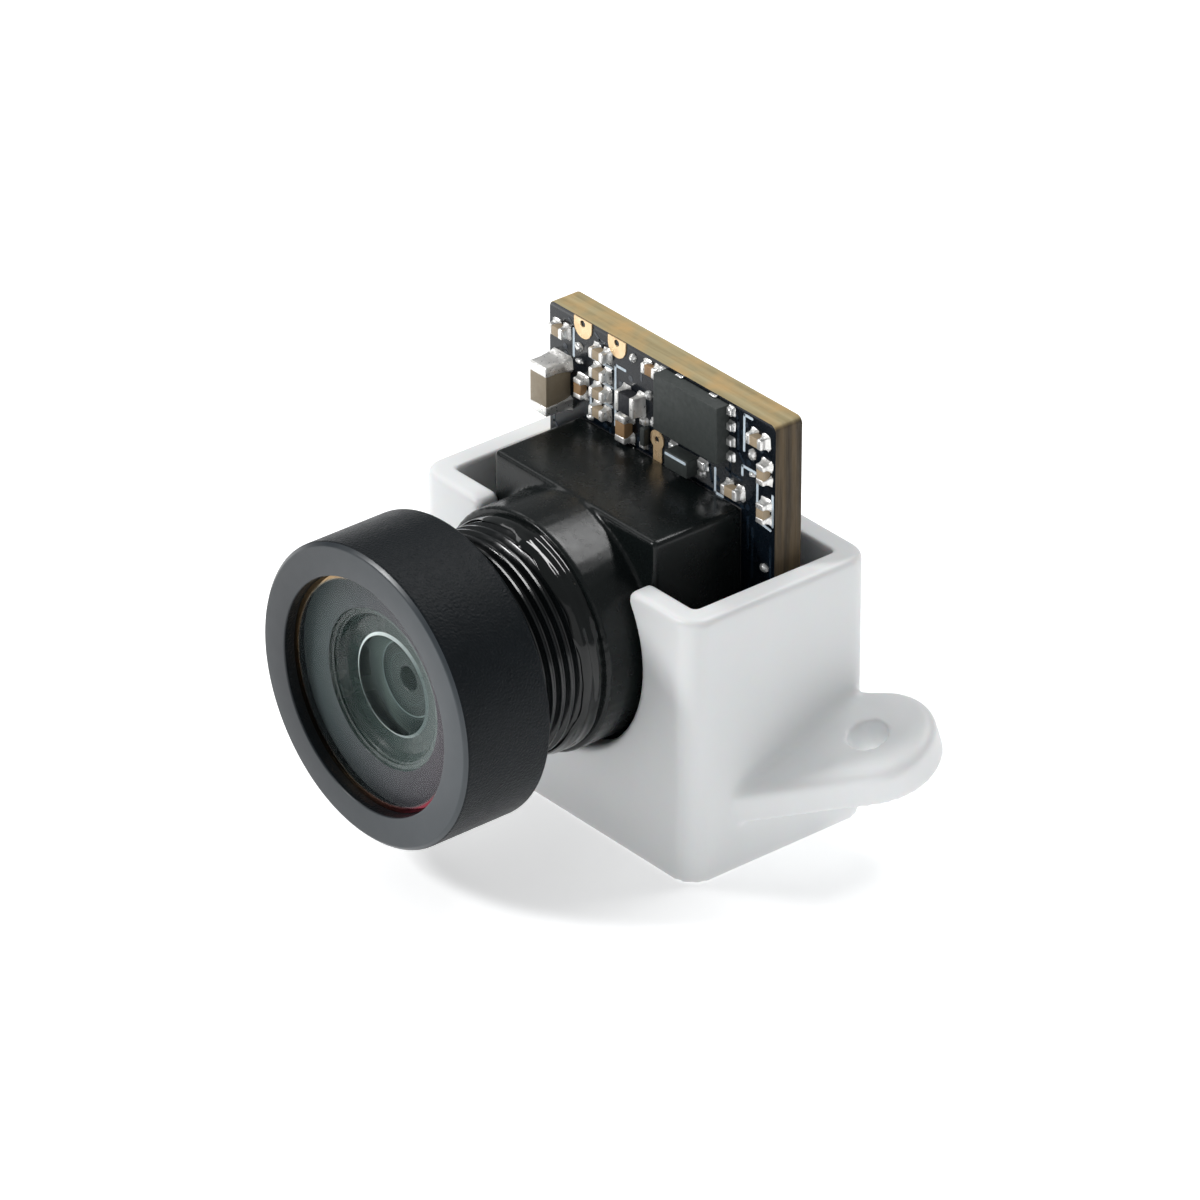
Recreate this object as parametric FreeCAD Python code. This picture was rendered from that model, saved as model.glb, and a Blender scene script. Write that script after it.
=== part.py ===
import FreeCAD, Part
import math
import os

# Micro board camera in a moulded cradle.
# Millimetres. X is across the cradle, +Y points to the back, +Z is up.
# The origin is the centre of the cradle's bottom face. The lens looks along -Y.

# Two values closer than this are the same place.
TOLERANCE = 1e-4
# Cutting tools run past the faces they cut by this much.
OVERCUT = 1.0

# ---- cradle ----
CRADLE_HALF_WIDTH = 6.26
CRADLE_HALF_DEPTH = 3.46
CRADLE_HEIGHT = 8.76
CRADLE_WALL = 0.80
CRADLE_FLOOR = 0.80
CRADLE_CORNER_RADIUS = 0.80
CRADLE_RIM_RADIUS = 0.22
CLIP_RADIUS = 3.95
CLIP_TIP_RADIUS = 0.30
INNER_HALF_WIDTH = CRADLE_HALF_WIDTH - CRADLE_WALL
INNER_HALF_DEPTH = CRADLE_HALF_DEPTH - CRADLE_WALL

# ---- screw ears ----
EAR_SLOPE_DEG = 18.2
EAR_THICKNESS = 1.20
EAR_TOP_Y = -1.66
EAR_TOP_Z = 2.80
EAR_END_RADIUS = 1.85
EAR_END_U = 1.70
EAR_END_V = 3.88
EAR_FRONT_ANGLE_DEG = 45
EAR_REAR_ANGLE_DEG = 33
EAR_HOLE_U = 1.65
EAR_HOLE_V = 3.72
EAR_HOLE_RADIUS = 0.60
EAR_EDGE_RADIUS = 0.35
EAR_ROOT_DEPTH = 0.40

# ---- lens axis and holder ----
LENS_Z = 6.30
HOLDER_HALF_WIDTH = 3.66
HOLDER_HALF_HEIGHT = 3.80
HOLDER_FRONT_Y = -INNER_HALF_DEPTH
COLLAR_RADIUS = 3.79
COLLAR_FRONT_Y = -4.52
THREAD_BORE_RADIUS = 3.53
THREAD_BORE_END_Y = -2.16
NOSE_BORE_RADIUS = 3.12
WEB_FRONT_Y = -1.40
WEB_REAR_Y = -1.15
WEB_OPENING_RADIUS = 2.45
CAVITY_HALF = 3.00
HOLDER_EDGE_RADIUS = 0.15
COLLAR_MOUTH_RADIUS = 0.10
COLLAR_OVERLAP = 0.30
BOND_THICKNESS = 0.06
BOND_MARGIN = 0.05
SEAL_OUTER_RADIUS = COLLAR_RADIUS - 0.12
SEAL_LENGTH = 0.87
SEAL_SHOULDER_RADIUS = COLLAR_RADIUS - 0.14
SEAL_SHOULDER_LENGTH = 0.52

# ---- circuit board ----
BOARD_HALF_WIDTH = 5.09
BOARD_FRONT_Y = 0.68
BOARD_THICKNESS = 1.00
BOARD_TOP_Z = 13.36
BOARD_BOTTOM_Z = CRADLE_FLOOR
BOARD_CORNER_RADIUS = 0.18

# ---- optical parts fixed to the board or holder ----
SENSOR_HALF = 2.80
SENSOR_THICKNESS = 0.73
SENSOR_WINDOW_HALF = 2.60
SENSOR_WINDOW_THICKNESS = 0.40
FILTER_HALF = 2.90
FILTER_THICKNESS = 0.30

# ---- lens barrel ----
THREAD_MAJOR_RADIUS = 3.50
THREAD_PITCH = 0.35
THREAD_DEPTH = 0.17
HEAD_RADIUS = 4.71
HEAD_FRONT_Y = -10.51
HEAD_REAR_Y = -7.35
HEAD_FRONT_CHAMFER = 0.14
HEAD_REAR_CHAMFER = 0.10
THREAD_RELIEF = 0.10
THREAD_RUN_OUT = 0.12
CREST_START = 0.38
CREST_END = 0.62
STEM_THREAD_END_Y = -2.90
NOSE_RADIUS = 3.05
NOSE_END_Y = -2.15
GLASS_GAP = 0.03
FRONT_SEAT_RADIUS = 3.68
FRONT_SEAT_Y = -9.50
STEM_BORE_RADIUS = 2.55
RING_THREAD_RADIUS = 2.75
RING_FRONT_Y = -2.95
RING_BORE_RADIUS = 1.95
RING_RECESS = 0.10
RING_SLOT_DEPTH = 0.40
RING_SLOT_HALF_WIDTH = 0.20

# ---- lens elements ----
FRONT_GLASS_EDGE_Y = -10.16
FRONT_GLASS_APEX_Y = -10.36
FRONT_GLASS_REAR_Y = -9.80
FRONT_GLASS_HOLLOW_RADIUS = 2.50
FRONT_GLASS_HOLLOW_DEPTH = 0.25
BAFFLE_FRONT_RADIUS = 2.50
BAFFLE_REAR_RADIUS = 2.10
BAFFLE_SEAT_GAP = 0.02
SECOND_GLASS_RADIUS = 2.30
SECOND_GLASS_FRONT_Y = -9.40
SECOND_GLASS_REAR_Y = -8.85
SECOND_GLASS_FACE_RADIUS = 1.62
SECOND_GLASS_BULGE = 0.34
SECOND_GLASS_HOLLOW_RADIUS = 1.80
SECOND_GLASS_HOLLOW_DEPTH = 0.40
STOP_THICKNESS = 0.12
STOP_HOLE_RADIUS = 0.38
SPACER_BORE_RADIUS = 1.90
REAR_GLASS_FRONT_Y = -4.60
REAR_GLASS_REAR_Y = -3.10
REAR_GLASS_FACE_RADIUS = 1.85
REAR_GLASS_BULGE = 0.30


def cut_all(shape, tools):
    for tool in tools:
        shape = shape.cut(tool)
    return shape


def block(x_low, x_high, y_low, y_high, z_low, z_high):
    corner = FreeCAD.Vector(x_low, y_low, z_low)
    return Part.makeBox(x_high - x_low, y_high - y_low, z_high - z_low, corner)


def lens_cylinder(radius, y_low, y_high):
    start = FreeCAD.Vector(0, y_low, LENS_Z)
    return Part.makeCylinder(radius, y_high - y_low, start, FreeCAD.Vector(0, 1, 0))


def turned(profile):
    # Turns a closed (radius, y) outline round the lens axis.
    points = [FreeCAD.Vector(radius, y, LENS_Z) for radius, y in profile]
    points.append(points[0])
    face = Part.Face(Part.makePolygon(points))
    axis_point = FreeCAD.Vector(0, 0, LENS_Z)
    return face.revolve(axis_point, FreeCAD.Vector(0, 1, 0), 360)


def turned_wire(edges):
    # Turns a closed outline that holds arcs round the lens axis.
    face = Part.Face(Part.Wire(Part.__sortEdges__(edges)))
    axis_point = FreeCAD.Vector(0, 0, LENS_Z)
    return face.revolve(axis_point, FreeCAD.Vector(0, 1, 0), 360)


def lens_point(radius, y):
    return FreeCAD.Vector(radius, y, LENS_Z)


def line(start, end):
    return Part.makeLine(start, end)


def arc(start, middle, end):
    return Part.Arc(start, middle, end).toShape()


def edges_where(shape, test):
    return [edge for edge in shape.Edges if test(edge)]


def is_vertical(edge):
    if len(edge.Vertexes) != 2:
        return False
    low, high = edge.Vertexes[0].Point, edge.Vertexes[1].Point
    return abs(low.x - high.x) < TOLERANCE and abs(low.y - high.y) < TOLERANCE


# ---- cradle ----

def ear_frame(side):
    # Returns the ear plane's root point, its outward, rearward and normal directions.
    slope = math.radians(EAR_SLOPE_DEG)
    root = FreeCAD.Vector(side * CRADLE_HALF_WIDTH, EAR_TOP_Y, EAR_TOP_Z)
    outward = FreeCAD.Vector(side, 0, 0)
    rearward = FreeCAD.Vector(0, math.cos(slope), math.sin(slope))
    normal = FreeCAD.Vector(0, -math.sin(slope), math.cos(slope))
    return root, outward, rearward, normal


def ear_plate(side):
    # The ear's flat plate before its edges are rounded, and its screw hole.
    root, outward, rearward, normal = ear_frame(side)

    def at(u, v):
        return root + outward * u + rearward * v

    def on_end(angle_deg):
        angle = math.radians(angle_deg)
        return (EAR_END_U + EAR_END_RADIUS * math.cos(angle),
                EAR_END_V + EAR_END_RADIUS * math.sin(angle))

    # Both straight edges are tangent to the round end and run on into the wall.
    front_u, front_v = on_end(EAR_FRONT_ANGLE_DEG - 90)
    rear_u, rear_v = on_end(EAR_REAR_ANGLE_DEG + 90)
    inside = -EAR_ROOT_DEPTH
    front_rise = math.tan(math.radians(EAR_FRONT_ANGLE_DEG))
    rear_rise = math.tan(math.radians(EAR_REAR_ANGLE_DEG))
    front_inside = at(inside, front_v - (front_u - inside) * front_rise)
    rear_inside = at(inside, rear_v - (rear_u - inside) * rear_rise)
    outline = [
        line(front_inside, at(front_u, front_v)),
        arc(at(front_u, front_v), at(EAR_END_U + EAR_END_RADIUS, EAR_END_V), at(rear_u, rear_v)),
        line(at(rear_u, rear_v), rear_inside),
        line(rear_inside, front_inside),
    ]
    face = Part.Face(Part.Wire(outline))
    plate = face.extrude(normal * -EAR_THICKNESS)
    if plate.Volume < 0:
        plate.reverse()
    centre = at(EAR_HOLE_U, EAR_HOLE_V) + normal * EAR_THICKNESS
    hole = Part.makeCylinder(EAR_HOLE_RADIUS, 3 * EAR_THICKNESS, centre, normal * -1)
    return plate, hole


def ear_top_edges(body, side):
    # The edges that bound the ear's top face, without the one at the cradle's corner.
    root, outward, rearward, normal = ear_frame(side)

    def bounds_top(edge):
        ends = [vertex.Point - root for vertex in edge.Vertexes]
        middle = edge.valueAt((edge.FirstParameter + edge.LastParameter) / 2) - root
        flat = all(abs(point.dot(normal)) < TOLERANCE for point in ends + [middle])
        return flat and middle.dot(outward) > -TOLERANCE

    return edges_where(body, bounds_top)


def cradle_block():
    # The cradle's outside, with rounded upright corners and nothing cut out.
    outer = block(-CRADLE_HALF_WIDTH, CRADLE_HALF_WIDTH, -CRADLE_HALF_DEPTH,
                  CRADLE_HALF_DEPTH, 0, CRADLE_HEIGHT)
    return outer.makeFillet(CRADLE_CORNER_RADIUS, edges_where(outer, is_vertical))


def cradle():
    outer = cradle_block()
    inner = block(-INNER_HALF_WIDTH, INNER_HALF_WIDTH, -INNER_HALF_DEPTH,
                  INNER_HALF_DEPTH, CRADLE_FLOOR, CRADLE_HEIGHT + OVERCUT)
    clip = lens_cylinder(CLIP_RADIUS, -CRADLE_HALF_DEPTH - OVERCUT, -INNER_HALF_DEPTH)
    shell = outer.cut(inner).cut(clip)

    def is_clip_tip(edge):
        middle = edge.CenterOfMass
        at_rim = abs(middle.z - CRADLE_HEIGHT) < TOLERANCE
        along_y = abs(edge.Length - CRADLE_WALL) < TOLERANCE
        in_front = middle.y < -INNER_HALF_DEPTH and abs(middle.x) < CLIP_RADIUS
        return at_rim and along_y and in_front

    shell = shell.makeFillet(CLIP_TIP_RADIUS, edges_where(shell, is_clip_tip))

    def is_outer_rim(edge):
        middle = edge.valueAt((edge.FirstParameter + edge.LastParameter) / 2)
        at_rim = abs(edge.CenterOfMass.z - CRADLE_HEIGHT) < TOLERANCE
        beyond_x = abs(middle.x) > INNER_HALF_WIDTH + CRADLE_WALL / 2
        beyond_y = abs(middle.y) > INNER_HALF_DEPTH + CRADLE_WALL / 2
        is_wall_end = abs(edge.Length - CRADLE_WALL) < TOLERANCE
        return at_rim and (beyond_x or beyond_y) and not is_wall_end

    return shell.makeFillet(CRADLE_RIM_RADIUS, edges_where(shell, is_outer_rim))


def ear(side):
    # One moulding with the cradle. The ear is blended into the cradle's wall, then what
    # lies inside the wall is cut away, so that it meets the wall face to face.
    outer = cradle_block()
    plate, hole = ear_plate(side)
    body = outer.fuse(plate).removeSplitter()
    body = body.makeFillet(EAR_EDGE_RADIUS, ear_top_edges(body, side))
    return cut_all(body, [hole, outer])


# ---- lens holder ----

def lens_holder():
    # The collar's top runs flush into the box's top.
    rear_y = BOARD_FRONT_Y - BOND_THICKNESS
    box = block(-HOLDER_HALF_WIDTH, HOLDER_HALF_WIDTH, HOLDER_FRONT_Y, rear_y,
                LENS_Z - HOLDER_HALF_HEIGHT, LENS_Z + HOLDER_HALF_HEIGHT)
    depth = rear_y - HOLDER_FRONT_Y

    def is_outer_corner(edge):
        at_front = abs(edge.CenterOfMass.y - HOLDER_FRONT_Y) < TOLERANCE
        return at_front or abs(edge.Length - depth) < TOLERANCE

    box = box.makeFillet(HOLDER_EDGE_RADIUS, edges_where(box, is_outer_corner))
    collar = lens_cylinder(COLLAR_RADIUS, COLLAR_FRONT_Y, HOLDER_FRONT_Y + COLLAR_OVERLAP)
    body = box.fuse(collar).removeSplitter()

    def is_mouth(edge):
        return abs(edge.CenterOfMass.y - COLLAR_FRONT_Y) < TOLERANCE

    body = body.makeFillet(COLLAR_MOUTH_RADIUS, edges_where(body, is_mouth))
    cavity = block(-CAVITY_HALF, CAVITY_HALF, WEB_REAR_Y, rear_y + OVERCUT,
                   LENS_Z - CAVITY_HALF, LENS_Z + CAVITY_HALF)
    tools = [
        lens_cylinder(THREAD_BORE_RADIUS, COLLAR_FRONT_Y - OVERCUT, THREAD_BORE_END_Y),
        lens_cylinder(NOSE_BORE_RADIUS, COLLAR_FRONT_Y - OVERCUT, WEB_FRONT_Y),
        lens_cylinder(WEB_OPENING_RADIUS, COLLAR_FRONT_Y - OVERCUT, WEB_REAR_Y + OVERCUT),
        cavity,
    ]
    return cut_all(body, tools)


def holder_bond():
    # A square frame of adhesive between the holder's rear face and the board.
    low_y = BOARD_FRONT_Y - BOND_THICKNESS
    outer_half = HOLDER_HALF_WIDTH - BOND_MARGIN
    outer_height = HOLDER_HALF_HEIGHT - BOND_MARGIN
    inner_half = CAVITY_HALF + BOND_MARGIN
    outer = block(-outer_half, outer_half, low_y, BOARD_FRONT_Y,
                  LENS_Z - outer_height, LENS_Z + outer_height)
    inner = block(-inner_half, inner_half, low_y, BOARD_FRONT_Y,
                  LENS_Z - inner_half, LENS_Z + inner_half)
    return outer.cut(inner)


def thread_seal():
    # A soft rounded bead that closes the step between the collar and the thread.
    inner = THREAD_BORE_RADIUS
    back = COLLAR_FRONT_Y
    front = lens_point(inner, back - SEAL_LENGTH)
    shoulder = lens_point(SEAL_SHOULDER_RADIUS, back - SEAL_SHOULDER_LENGTH)
    edges = [
        line(lens_point(inner, back), lens_point(SEAL_OUTER_RADIUS, back)),
        arc(lens_point(SEAL_OUTER_RADIUS, back), shoulder, front),
        line(front, lens_point(inner, back)),
    ]
    return turned_wire(edges)


# ---- circuit board ----

def circuit_board():
    # A plain rectangle whose two upper corners are slightly rounded.
    board = block(-BOARD_HALF_WIDTH, BOARD_HALF_WIDTH, BOARD_FRONT_Y,
                  BOARD_FRONT_Y + BOARD_THICKNESS, BOARD_BOTTOM_Z, BOARD_TOP_Z)

    def is_upper_corner(edge):
        along_y = abs(edge.Length - BOARD_THICKNESS) < TOLERANCE
        return along_y and abs(edge.CenterOfMass.z - BOARD_TOP_Z) < TOLERANCE

    return board.makeFillet(BOARD_CORNER_RADIUS, edges_where(board, is_upper_corner))


def on_board(x, z, width, height, proud):
    # A block standing proud of the board's front face, centred on (x, z).
    return block(x - width / 2, x + width / 2, BOARD_FRONT_Y - proud, BOARD_FRONT_Y,
                 z - height / 2, z + height / 2)


def chip_body(x, z, length, width, proud, upright, end):
    # The middle of a two-ended chip part, between its metal ends.
    if upright:
        return on_board(x, z, width, length - 2 * end, proud)
    return on_board(x, z, length - 2 * end, width, proud)


def chip_ends(x, z, length, width, proud, upright, end):
    # The two metal ends of a chip part.
    shift = (length - end) / 2
    ends = []
    for side in (-1, 1):
        if upright:
            ends.append(on_board(x, z + side * shift, width, end, proud))
        else:
            ends.append(on_board(x + side * shift, z, end, width, proud))
    return ends


def solder_lump(x, z, width, height, proud):
    # A low lump of solder on the board's front face, with chamfered front edges.
    front_y = BOARD_FRONT_Y - proud
    lump = on_board(x, z, width, height, proud)
    front_edges = edges_where(lump, lambda edge: abs(edge.CenterOfMass.y - front_y) < TOLERANCE)
    return lump.makeChamfer(SOLDER_CHAMFER_SHARE * proud, front_edges)


def round_on_board(x, z, radius, proud):
    start = FreeCAD.Vector(x, BOARD_FRONT_Y - proud, z)
    return Part.makeCylinder(radius, proud, start, FreeCAD.Vector(0, 1, 0))


PAD_THICKNESS = 0.04
WIRE_PAD_XS = (-3.53, -1.98)
WIRE_PAD_RADIUS = 0.40
WIRE_PAD_TOP = BOARD_TOP_Z - 0.02
WIRE_PAD_DEPTH = 0.62
WIRE_HOLE_RADIUS = 0.11
WIRE_HOLE_RISE = 0.08


def wire_pads():
    # Round-bottomed pads that run off the board's top edge, each with a wire hole.
    pads = []
    centre_z = WIRE_PAD_TOP - WIRE_PAD_DEPTH + WIRE_PAD_RADIUS
    for x in WIRE_PAD_XS:
        disc = round_on_board(x, centre_z, WIRE_PAD_RADIUS, PAD_THICKNESS)
        strip = block(x - WIRE_PAD_RADIUS, x + WIRE_PAD_RADIUS, BOARD_FRONT_Y - PAD_THICKNESS,
                      BOARD_FRONT_Y, centre_z, WIRE_PAD_TOP)
        above = block(x - OVERCUT, x + OVERCUT, BOARD_FRONT_Y - OVERCUT, BOARD_FRONT_Y + OVERCUT,
                      WIRE_PAD_TOP, WIRE_PAD_TOP + OVERCUT)
        hole = round_on_board(x, centre_z + WIRE_HOLE_RISE, WIRE_HOLE_RADIUS, OVERCUT)
        pads.append(cut_all(disc.fuse(strip).removeSplitter(), [above, hole]))
    return Part.makeCompound(pads)


TEST_PAD_X = -0.15
TEST_PAD_Z = 10.76
TEST_PAD_RADIUS = 0.30
TEST_PAD_HOLE_RADIUS = 0.10
TEST_STEM_LEFT = 0.16
TEST_STEM_RIGHT = 0.22
TEST_STEM_LENGTH = 0.72


def test_pad():
    # A ring with a short stem, like a keyhole.
    ring = round_on_board(TEST_PAD_X, TEST_PAD_Z, TEST_PAD_RADIUS, PAD_THICKNESS)
    stem = block(TEST_PAD_X - TEST_STEM_LEFT, TEST_PAD_X + TEST_STEM_RIGHT,
                 BOARD_FRONT_Y - PAD_THICKNESS, BOARD_FRONT_Y,
                 TEST_PAD_Z - TEST_STEM_LENGTH, TEST_PAD_Z)
    hole = round_on_board(TEST_PAD_X, TEST_PAD_Z, TEST_PAD_HOLE_RADIUS, OVERCUT)
    return ring.fuse(stem).removeSplitter().cut(hole)


# Each row: x, z of the part's centre, length, width, height off the board, upright, end length.
LARGE_CAPACITOR = (-4.51, 10.95, 1.62, 0.78, 0.95, True, 0.30)
SMALL_CAPACITORS = (
    (-4.52, 12.62, 0.66, 0.34, 0.30, False, 0.17),
    (-2.66, 12.58, 0.66, 0.34, 0.30, False, 0.17),
    (-2.66, 11.93, 0.66, 0.34, 0.30, False, 0.17),
    (-2.66, 11.28, 0.66, 0.34, 0.30, False, 0.17),
    (-2.66, 10.66, 0.66, 0.34, 0.30, False, 0.17),
    (4.42, 12.70, 0.70, 0.34, 0.30, False, 0.17),
    (4.72, 11.74, 0.66, 0.34, 0.30, True, 0.17),
    (4.72, 10.46, 0.66, 0.34, 0.30, True, 0.17),
    (3.33, 10.56, 0.70, 0.34, 0.30, False, 0.17),
)
RESISTORS = (
    (-3.55, 11.10, 0.66, 0.36, 0.26, True, 0.15),
    (-1.50, 10.64, 0.90, 0.46, 0.34, True, 0.20),
    (-0.38, 12.98, 0.66, 0.34, 0.22, False, 0.17),
)
INDUCTOR = (-1.22, 11.60, 0.86, 0.66, 0.42, False, 0.17)
SMALL_PACKAGES = (
    (-0.60, 10.72, 0.20, 0.58, 0.24),
    (1.23, 10.68, 1.02, 0.56, 0.50),
)
PACKAGE_LEADS = (
    (-0.74, 11.12, 0.24, 0.20), (-0.74, 10.34, 0.24, 0.18), (-0.30, 11.26, 0.18, 0.18),
    (1.92, 10.80, 0.36, 0.26), (1.86, 10.50, 0.24, 0.16), (0.59, 10.86, 0.26, 0.20),
)
LEAD_HEIGHT = 0.14
# How much of a lump's height its chamfer takes.
SOLDER_CHAMFER_SHARE = 0.6
# Each row: x, z, width, height, proud.
SOLDER_JOINTS = (
    (-3.72, 12.36, 0.40, 0.30, 0.12), (-3.72, 11.88, 0.36, 0.18, 0.10),
    (-1.25, 13.00, 0.32, 0.30, 0.14), (-0.52, 12.08, 0.34, 0.34, 0.16),
    (4.10, 12.06, 0.34, 0.40, 0.14), (4.10, 11.40, 0.30, 0.20, 0.10),
    (4.66, 8.55, 0.40, 0.30, 0.14), (-3.20, 10.22, 0.36, 0.22, 0.10),
)


def from_rows(maker, rows):
    return [maker(*row) for row in rows]


def all_ends(rows):
    ends = []
    for row in rows:
        ends.extend(chip_ends(*row))
    return ends


MEMORY_X = 1.63
MEMORY_Z = 12.35
MEMORY_WIDTH = 2.84
MEMORY_HEIGHT = 1.84
MEMORY_PROUD = 0.50
# Eight side leads, four to a side, and two small tabs along the top.
MEMORY_LEAD_PITCH = 0.50
MEMORY_LEADS_PER_SIDE = 4
MEMORY_LEAD_LENGTH = 0.22
MEMORY_LEAD_WIDTH = 0.24
MEMORY_LEAD_PROUD = 0.16
MEMORY_TAB_SHIFT = 0.75
MEMORY_TAB_LENGTH = 0.06
MEMORY_TAB_WIDTH = 0.30
MEMORY_TAB_PROUD = 0.12


def memory_chip():
    return on_board(MEMORY_X, MEMORY_Z, MEMORY_WIDTH, MEMORY_HEIGHT, MEMORY_PROUD)


def memory_chip_leads():
    leads = []
    lead_shift = (MEMORY_WIDTH + MEMORY_LEAD_LENGTH) / 2
    tab_z = MEMORY_Z + (MEMORY_HEIGHT + MEMORY_TAB_LENGTH) / 2
    middle = (MEMORY_LEADS_PER_SIDE - 1) / 2
    for side in (-1, 1):
        for index in range(MEMORY_LEADS_PER_SIDE):
            leads.append(on_board(MEMORY_X + side * lead_shift,
                                  MEMORY_Z + (index - middle) * MEMORY_LEAD_PITCH,
                                  MEMORY_LEAD_LENGTH, MEMORY_LEAD_WIDTH, MEMORY_LEAD_PROUD))
        leads.append(on_board(MEMORY_X + side * MEMORY_TAB_SHIFT, tab_z,
                              MEMORY_TAB_WIDTH, MEMORY_TAB_LENGTH, MEMORY_TAB_PROUD))
    return leads


def package_lead(x, z, width, height):
    return on_board(x, z, width, height, LEAD_HEIGHT)


REAR_CHIP_HALF_WIDTH = 2.25
REAR_CHIP_HALF_HEIGHT = 2.25
REAR_CHIP_Z = 5.60
REAR_CHIP_THICKNESS = 0.80


def rear_processor():
    rear_y = BOARD_FRONT_Y + BOARD_THICKNESS
    return block(-REAR_CHIP_HALF_WIDTH, REAR_CHIP_HALF_WIDTH, rear_y, rear_y + REAR_CHIP_THICKNESS,
                 REAR_CHIP_Z - REAR_CHIP_HALF_HEIGHT, REAR_CHIP_Z + REAR_CHIP_HALF_HEIGHT)


def square_plate(half, y_low, thickness):
    return block(-half, half, y_low, y_low + thickness, LENS_Z - half, LENS_Z + half)


def image_sensor():
    return square_plate(SENSOR_HALF, BOARD_FRONT_Y - SENSOR_THICKNESS, SENSOR_THICKNESS)


def sensor_window():
    low_y = BOARD_FRONT_Y - SENSOR_THICKNESS - SENSOR_WINDOW_THICKNESS
    return square_plate(SENSOR_WINDOW_HALF, low_y, SENSOR_WINDOW_THICKNESS)


def infrared_filter():
    return square_plate(FILTER_HALF, WEB_REAR_Y, FILTER_THICKNESS)


# ---- lens barrel ----

def thread_outline():
    # Crests and roots of the thread, from the head back to the plain nose.
    points = []
    y = HEAD_REAR_Y + THREAD_RELIEF
    root = THREAD_MAJOR_RADIUS - THREAD_DEPTH
    points.append((root, HEAD_REAR_Y))
    points.append((root, y))
    while y + THREAD_PITCH < STEM_THREAD_END_Y:
        points.append((THREAD_MAJOR_RADIUS, y + CREST_START * THREAD_PITCH))
        points.append((THREAD_MAJOR_RADIUS, y + CREST_END * THREAD_PITCH))
        points.append((root, y + THREAD_PITCH))
        y += THREAD_PITCH
    points.append((NOSE_RADIUS, y + THREAD_RUN_OUT))
    return points


def lens_barrel():
    head = [
        (FRONT_SEAT_RADIUS, HEAD_FRONT_Y),
        (HEAD_RADIUS - HEAD_FRONT_CHAMFER, HEAD_FRONT_Y),
        (HEAD_RADIUS, HEAD_FRONT_Y + HEAD_FRONT_CHAMFER),
        (HEAD_RADIUS, HEAD_REAR_Y - HEAD_REAR_CHAMFER),
        (HEAD_RADIUS - HEAD_REAR_CHAMFER, HEAD_REAR_Y),
    ]
    inside = [
        (NOSE_RADIUS, NOSE_END_Y),
        (RING_THREAD_RADIUS, NOSE_END_Y),
        (RING_THREAD_RADIUS, RING_FRONT_Y),
        (STEM_BORE_RADIUS, RING_FRONT_Y),
        (STEM_BORE_RADIUS, FRONT_SEAT_Y),
        (FRONT_SEAT_RADIUS, FRONT_SEAT_Y),
    ]
    return turned(head + thread_outline() + inside)


def rear_retaining_ring():
    # A threaded ring with a driver slot across its rear face.
    rear_y = NOSE_END_Y - RING_RECESS
    ring = lens_cylinder(RING_THREAD_RADIUS, RING_FRONT_Y, rear_y)
    bore = lens_cylinder(RING_BORE_RADIUS, RING_FRONT_Y - OVERCUT, rear_y + OVERCUT)
    slot = block(-HEAD_RADIUS, HEAD_RADIUS, rear_y - RING_SLOT_DEPTH, rear_y + OVERCUT,
                 LENS_Z - RING_SLOT_HALF_WIDTH, LENS_Z + RING_SLOT_HALF_WIDTH)
    return cut_all(ring, [bore, slot])


# ---- lens elements ----

def ball(edge_radius, edge_y, apex_y):
    # A sphere through a circle round the lens axis and an apex on that axis.
    sag = abs(edge_y - apex_y)
    radius = (edge_radius ** 2 + sag ** 2) / (2 * sag)
    towards_back = 1 if edge_y > apex_y else -1
    centre = FreeCAD.Vector(0, apex_y + towards_back * radius, LENS_Z)
    return Part.makeSphere(radius, centre)


def front_element():
    radius = FRONT_SEAT_RADIUS - GLASS_GAP
    blank = lens_cylinder(radius, FRONT_GLASS_APEX_Y - OVERCUT, FRONT_GLASS_REAR_Y)
    dome = ball(radius, FRONT_GLASS_EDGE_Y, FRONT_GLASS_APEX_Y)
    hollow = ball(FRONT_GLASS_HOLLOW_RADIUS, FRONT_GLASS_REAR_Y,
                  FRONT_GLASS_REAR_Y - FRONT_GLASS_HOLLOW_DEPTH)
    return blank.common(dome).cut(hollow)


def baffle_ring():
    outer_front = FRONT_SEAT_RADIUS - GLASS_GAP
    outer_rear = STEM_BORE_RADIUS - GLASS_GAP
    seat_y = FRONT_SEAT_Y - BAFFLE_SEAT_GAP
    rear_y = SECOND_GLASS_FRONT_Y
    return turned([
        (BAFFLE_FRONT_RADIUS, FRONT_GLASS_REAR_Y),
        (outer_front, FRONT_GLASS_REAR_Y),
        (outer_front, seat_y),
        (outer_rear, seat_y),
        (outer_rear, rear_y),
        (BAFFLE_REAR_RADIUS, rear_y),
    ])


def second_element():
    # A flat ground rim round a bulging front face; the rear face is hollow.
    radius = STEM_BORE_RADIUS - GLASS_GAP
    rim_y = SECOND_GLASS_FRONT_Y
    plate = lens_cylinder(radius, rim_y, SECOND_GLASS_REAR_Y)
    dome_blank = lens_cylinder(SECOND_GLASS_FACE_RADIUS, rim_y - OVERCUT, rim_y)
    dome = ball(SECOND_GLASS_FACE_RADIUS, rim_y, rim_y - SECOND_GLASS_BULGE)
    hollow = ball(SECOND_GLASS_HOLLOW_RADIUS, SECOND_GLASS_REAR_Y,
                  SECOND_GLASS_REAR_Y - SECOND_GLASS_HOLLOW_DEPTH)
    return plate.fuse(dome_blank.common(dome)).removeSplitter().cut(hollow)


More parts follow.
